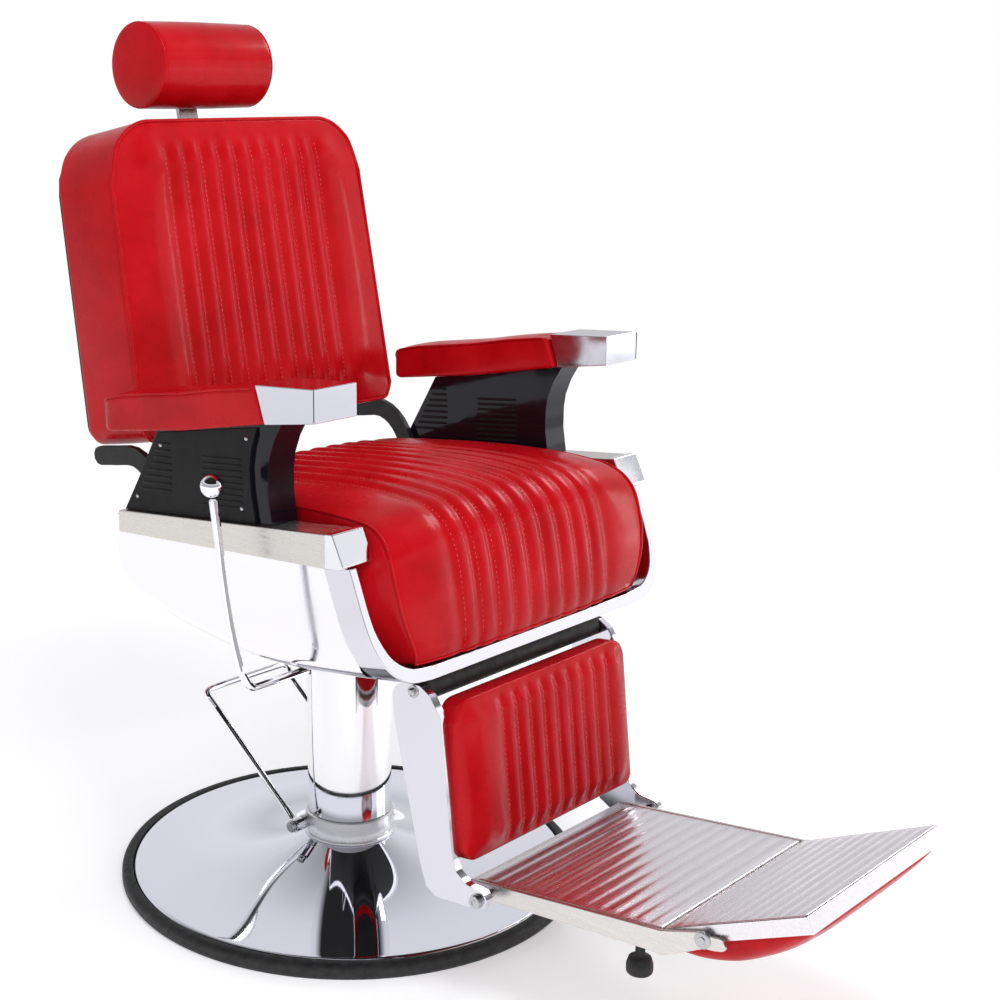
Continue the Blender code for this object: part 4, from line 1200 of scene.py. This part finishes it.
def make_flip_pad():
    node = "flip_pad"
    tilt = math.radians(24.2)
    ahead = Vector((0, -math.cos(tilt), math.sin(tilt)))
    upward = Vector((0, math.sin(tilt), math.cos(tilt)))
    start, end = extent(node, ahead)
    bottom, top = extent(node, upward)
    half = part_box(node)[1].x
    belly = [(0.0, 0.22), (0.06, 0.45), (0.18, 0.80), (0.35, 0.97), (0.52, 0.92), (0.70, 0.74), (0.86, 0.48), (1.0, 0.16)]
    belly_path = smooth(belly, 5)

    def depth_at(share):
        for one, two in zip(belly_path, belly_path[1:]):
            if one.x <= share <= two.x:
                return one.y + (two.y - one.y) * (share - one.x) / max(two.x - one.x, 1e-9)
        return belly_path[-1].y

    def place(u, v, w):
        round_off = (1 - abs(u) ** 6) ** 0.5 * 0.75 + 0.25
        deep = (top - bottom) * depth_at(v) * round_off
        return Vector((u * half, 0, 0)) + ahead * (start + (end - start) * v) + upward * (top - deep * w)

    us = [math.sin(math.pi / 2 * (-1 + 2 * i / 24)) for i in range(25)]
    vs = [i / 26 for i in range(27)]
    ws = [i / 4 for i in range(5)]
    bm, index = box_grid(us, vs, ws, place)
    pinned = {number for (i, j, k), number in index.items() if k == 0}
    return Cushion("flip_pad_cover", bm, "flip", node, pinned, 0.003, 3.0)


def welt(name, cushion, loops, radius=0.0022):
    """Round piping sewn along chosen edges of a cushion's grid, just proud of the cover."""
    verts = cushion.obj.data.vertices
    parts = []
    for loop in loops:
        path = [verts[number].co.lerp(cushion.middle, 0.004) for number in loop]
        parts.append(tube(smooth(path, 2), radius, 10))
    piece(name, merged(parts), "vinyl", cushion.obj["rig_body"], sharp=0)


def surface_of(obj):
    graph = bpy.context.evaluated_depsgraph_get()
    return BVHTree.FromObject(obj, graph)


def stitch_row(bm, path, tree, inward, length=0.0042, gap=0.0026, radius=0.00055):
    """Thread dashes laid on a cover along a path, found by looking along inward from outside."""
    points = []
    for point in path:
        hit = tree.ray_cast(point - inward(point) * 0.05, inward(point), 0.12)
        if hit[0] is not None:
            points.append((hit[0], hit[1]))
    if len(points) < 2:
        return
    covered = 0.0
    dash = []
    for (one, normal), (two, _) in zip(points, points[1:]):
        step = (two - one).length
        covered += step
        if covered % (length + gap) < length:
            dash.append((one, normal))
        elif len(dash) > 1:
            add_dash(bm, dash, radius)
            dash = []
        else:
            dash = []


def add_dash(bm, dash, radius):
    """One stitch: a short thread whose ends dip into the cover."""
    rings = []
    last = len(dash) - 1
    along = (dash[-1][0] - dash[0][0]).normalized()
    for i, (point, normal) in enumerate(dash):
        side = along.cross(normal).normalized()
        lift = radius * (0.9 if 0 < i < last else -0.6)
        ring = []
        for k in range(6):
            angle = 2 * math.pi * k / 6
            ring.append(point + normal * (lift + radius * math.sin(angle)) + side * radius * math.cos(angle))
        rings.append(ring)
    loops = [[bm.verts.new(p) for p in ring] for ring in rings]
    for one, two in zip(loops, loops[1:]):
        for i in range(6):
            j = (i + 1) % 6
            bm.faces.new((one[i], one[j], two[j], two[i]))
    bm.faces.new(loops[0][::-1])
    bm.faces.new(loops[-1])


def make_stitching(seat, back, calf):
    up, out = back_frame()
    tree = surface_of(seat.obj)
    bm = bmesh.new()
    low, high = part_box("seat_cushion")
    pivot = Vector((0, -0.235, 0.545))
    for x in SEAT_GROOVES:
        path = [Vector((x, high.y - 0.012 - (high.y + 0.235 - 0.012) * i / 260, 0.62)) for i in range(261)]
        path += [pivot + Vector((x, -0.09 * math.sin(a), 0.09 * math.cos(a)))
                 for a in [math.radians(135 * i / 170) for i in range(1, 171)]]

        def inward(point):
            if point.y > pivot.y:
                return Vector((0, 0, -1))
            away = Vector((0, point.y - pivot.y, point.z - pivot.z))
            return -away.normalized()

        stitch_row(bm, path, tree, inward)
    piece("seat_stitching", bm, "thread", "seat")
    tree = surface_of(back.obj)
    bm = bmesh.new()
    low_up, high_up = extent("back_cushion", up)
    front = extent("back_cushion", out)[1]
    for x in BACK_GROOVES:
        span = high_up - low_up - 0.055
        path = [Vector((x, 0, 0)) + up * (low_up + 0.018 + span * i / 330) + out * front for i in range(331)]
        stitch_row(bm, path, tree, lambda point: -out)
    piece("back_stitching", bm, "thread", "back")
    tree = surface_of(calf.obj)
    tilt = math.radians(6.8)
    leg_up = Vector((0, math.sin(tilt), math.cos(tilt)))
    leg_out = Vector((0, -math.cos(tilt), math.sin(tilt)))
    low_up, high_up = extent("calf_pad", leg_up)
    front = extent("calf_pad", leg_out)[1]
    bm = bmesh.new()
    for x in CALF_GROOVES:
        path = [Vector((x, 0, 0)) + leg_up * (low_up + 0.006 + (high_up - low_up - 0.024) * i / 170)
                + leg_out * front for i in range(171)]
        stitch_row(bm, path, tree, lambda point: -leg_out)
    piece("calf_stitching", bm, "thread", "legrest")


def make_soft_goods():
    seat = make_seat()
    back = make_back_cushion()
    head = make_headrest()
    calf = make_calf_pad()
    arms = [make_arm_pad(side, word) for side, word in SIDES]
    flip = make_flip_pad()
    everything = [seat, back, head, calf, *arms, flip]
    simulate(everything)
    soften([seat, back, calf, head], 2)
    soften([*arms, flip], 2)
    make_stitching(seat, back, calf)
    make_welts(seat, back, arms)


def make_welts(seat, back, arms):
    """Piping round the seat's nose, the backrest's front panel and the armrests' top seams."""
    m, n, k = seat.corners
    welt("seat_welt", seat, [seat.edge((0, 0, k), (0, n, k), (m, n, k), (m, 0, k))], 0.0020)
    m, n, k = back.corners
    welt("back_welt", back, [back.edge((0, 0, k), (0, n, k), (m, n, k), (m, 0, k), (0, 0, k))], 0.0024)
    for arm, (side, word) in zip(arms, SIDES):
        m, n, k = arm.corners
        welt(f"arm_welt_{word}", arm, [arm.edge((0, 1, k), (0, n, k), (m, n, k), (m, 1, k))], 0.0015)
    low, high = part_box("headrest_cushion")
    centre = (low + high) / 2
    radius = (high.z - low.z) / 2 - 0.0042
    reach = (high.x - low.x) / 2 - 0.0048
    rings = []
    for side in (1, -1):
        ring = arc((radius, side * reach), 0.0020, 0, 330, 11)
        rings.append(turned(ring, 64, centre, "X"))
    piece("headrest_welt", merged(rings), "vinyl", "headrest", sharp=0)


# ---------------------------------------------------------------- studio


def make_studio():
    """A white sweep that glows a little, as lit paper does, and soft area lights."""
    sweep = bmesh.new()
    rows = [(-9.0, 0.0), (2.6, 0.0), *[(2.6 + 2.2 * math.sin(a), 2.2 - 2.2 * math.cos(a))
                                       for a in [math.radians(9 * i) for i in range(1, 10)]], (4.8, 9.0)]
    turn = Matrix.Rotation(math.radians(-46.5), 3, "Z")
    loops = [[sweep.verts.new(turn @ Vector((x, y, z))) for x in (-14, 14)] for y, z in rows[:2]]
    for one, two in zip(loops, loops[1:]):
        sweep.faces.new((one[0], one[1], two[1], two[0]))
    mesh = bpy.data.meshes.new("studio_floor")
    bmesh.ops.recalc_face_normals(sweep, faces=sweep.faces)
    sweep.to_mesh(mesh)
    sweep.free()
    mesh.shade_smooth()
    paper = Surface("studio_paper", (0.90, 0.90, 0.91), 0.9)
    paper.set("Specular IOR Level", 0.1)
    paper.set("Emission Color", (0.97, 0.97, 1.0, 1))
    away = paper.tree.nodes.new("ShaderNodeVectorMath")
    away.operation = "LENGTH"
    paper.tree.links.new(paper.place, away.inputs[0])
    paper.set("Emission Strength", paper.spread(away.outputs["Value"], FLOOR_GLOW, 0.95, 1.6, 7.0))
    mesh.materials.append(paper.material)
    floor = bpy.data.objects.new("studio_floor", mesh)
    bpy.context.scene.collection.objects.link(floor)
    lamps = (("overhead", (-0.7, -1.5, 3.3), (0, 0, 0.7), (1.3, 0.9), 38, False),
             ("right", (3.0, -0.5, 3.0), (0, 0, 0.6), (1.5, 1.0), 34, True),
             ("strip", (3.15, -1.6, 0.85), (0, -0.2, 0.7), (0.32, 1.6), 9, True),
             ("card", (2.52, -2.54, 1.10), (0, -0.2, 0.6), (1.4, 1.6), 5.8, True),
             ("front", (-2.8, -2.8, 2.2), (0, 0, 0.5), (2.6, 1.8), 52, False),
             ("back", (1.2, 3.2, 3.0), (0, 0, 0.5), (2.6, 1.8), 30, False))
    for name, place, aim, size, power, shown in lamps:
        light = bpy.data.lights.new(f"{name}_light", "AREA")
        light.shape = "RECTANGLE"
        light.size, light.size_y = size
        light.energy = power
        lamp = bpy.data.objects.new(f"{name}_light", light)
        lamp.location = place
        lamp.rotation_mode = "QUATERNION"
        lamp.rotation_quaternion = (Vector(aim) - Vector(place)).to_track_quat("-Z", "Y")
        lamp.visible_glossy = shown
        lamp.visible_camera = False
        bpy.context.scene.collection.objects.link(lamp)


class World:
    """Short calls for building the background's node tree."""

    def __init__(self):
        self.world = bpy.data.worlds.new("studio")
        bpy.context.scene.world = self.world
        self.world.use_nodes = True
        self.tree = self.world.node_tree

    def node(self, kind, **links):
        made = self.tree.nodes.new(kind)
        for name, source in links.items():
            self.tree.links.new(source, made.inputs[name])
        return made

    def ramp(self, value, stops):
        made = self.node("ShaderNodeValToRGB", Fac=value)
        elements = made.color_ramp.elements
        while len(elements) < len(stops):
            elements.new(0.5)
        for element, (where, level) in zip(elements, stops):
            element.position = where
            element.color = (level, level, level * 1.03, 1)
        return made.outputs["Color"]

    def mix(self, share, one, two):
        made = self.tree.nodes.new("ShaderNodeMix")
        made.data_type = "RGBA"
        self.tree.links.new(share, made.inputs["Factor"])
        for socket, value in (("A", one), ("B", two)):
            if isinstance(value, bpy.types.NodeSocket):
                self.tree.links.new(value, made.inputs[socket])
            else:
                made.inputs[socket].default_value = (value, value, value, 1)
        return made.outputs["Result"]


def make_world():
    """White to the camera. Reflections see a white wall behind the chair and a dim room elsewhere."""
    world = World()
    place = world.node("ShaderNodeTexCoord").outputs["Generated"]
    height = world.node("ShaderNodeSeparateXYZ", Vector=place).outputs["Z"]
    behind = world.tree.nodes.new("ShaderNodeVectorMath")
    behind.operation = "DOT_PRODUCT"
    behind.inputs[1].default_value = (0.70, 0.71, 0)
    world.tree.links.new(place, behind.inputs[0])
    wall = world.ramp(height, ((0.0, 0.70), (0.20, 0.60), (0.36, 0.80), (0.56, 0.70), (0.80, 0.40), (1.0, 0.20)))
    room = world.ramp(height, ((0.0, 0.45), (0.30, 0.40), (0.36, 0.90), (0.435, 0.90), (0.455, 0.02), (1.0, 0.02)))
    share = world.ramp(behind.outputs["Value"], ((0.05, 0.0), (0.45, 1.0)))
    seen = world.mix(share, room, wall)
    path = world.node("ShaderNodeLightPath")
    lit = world.mix(path.outputs["Is Glossy Ray"], ROOM_LIGHT, seen)
    shown = world.mix(path.outputs["Is Camera Ray"], lit, 1.0)
    background = world.tree.nodes["Background"]
    world.tree.links.new(shown, background.inputs["Color"])


def make_camera():
    data = bpy.data.cameras.new("camera")
    data.lens = 60.11
    data.sensor_width = 36
    data.shift_x = 0.1358
    data.shift_y = 0.003
    camera = bpy.data.objects.new("camera", data)
    ahead = Vector((0.7042, 0.6672, -0.2429)).normalized()
    right = Vector((0.688, -0.7257, 0)).normalized()
    above = right.cross(ahead).normalized()
    camera.matrix_world = Matrix.LocRotScale(
        Vector((-1.6756, -1.6181, 1.1490)), Matrix((right, above, -ahead)).transposed(), None)
    bpy.context.scene.collection.objects.link(camera)
    bpy.context.scene.camera = camera
    bpy.context.scene.view_settings.view_transform = "Standard"


def main():
    dress_cad_nodes()
    make_base()
    make_pump()
    make_shell()
    make_trim()
    make_rails()
    make_side_covers()
    make_arm_caps()
    make_lever()
    make_back_arms()
    make_leg_arms()
    make_footboard()
    make_soft_goods()
    make_studio()
    make_world()
    make_camera()


main()
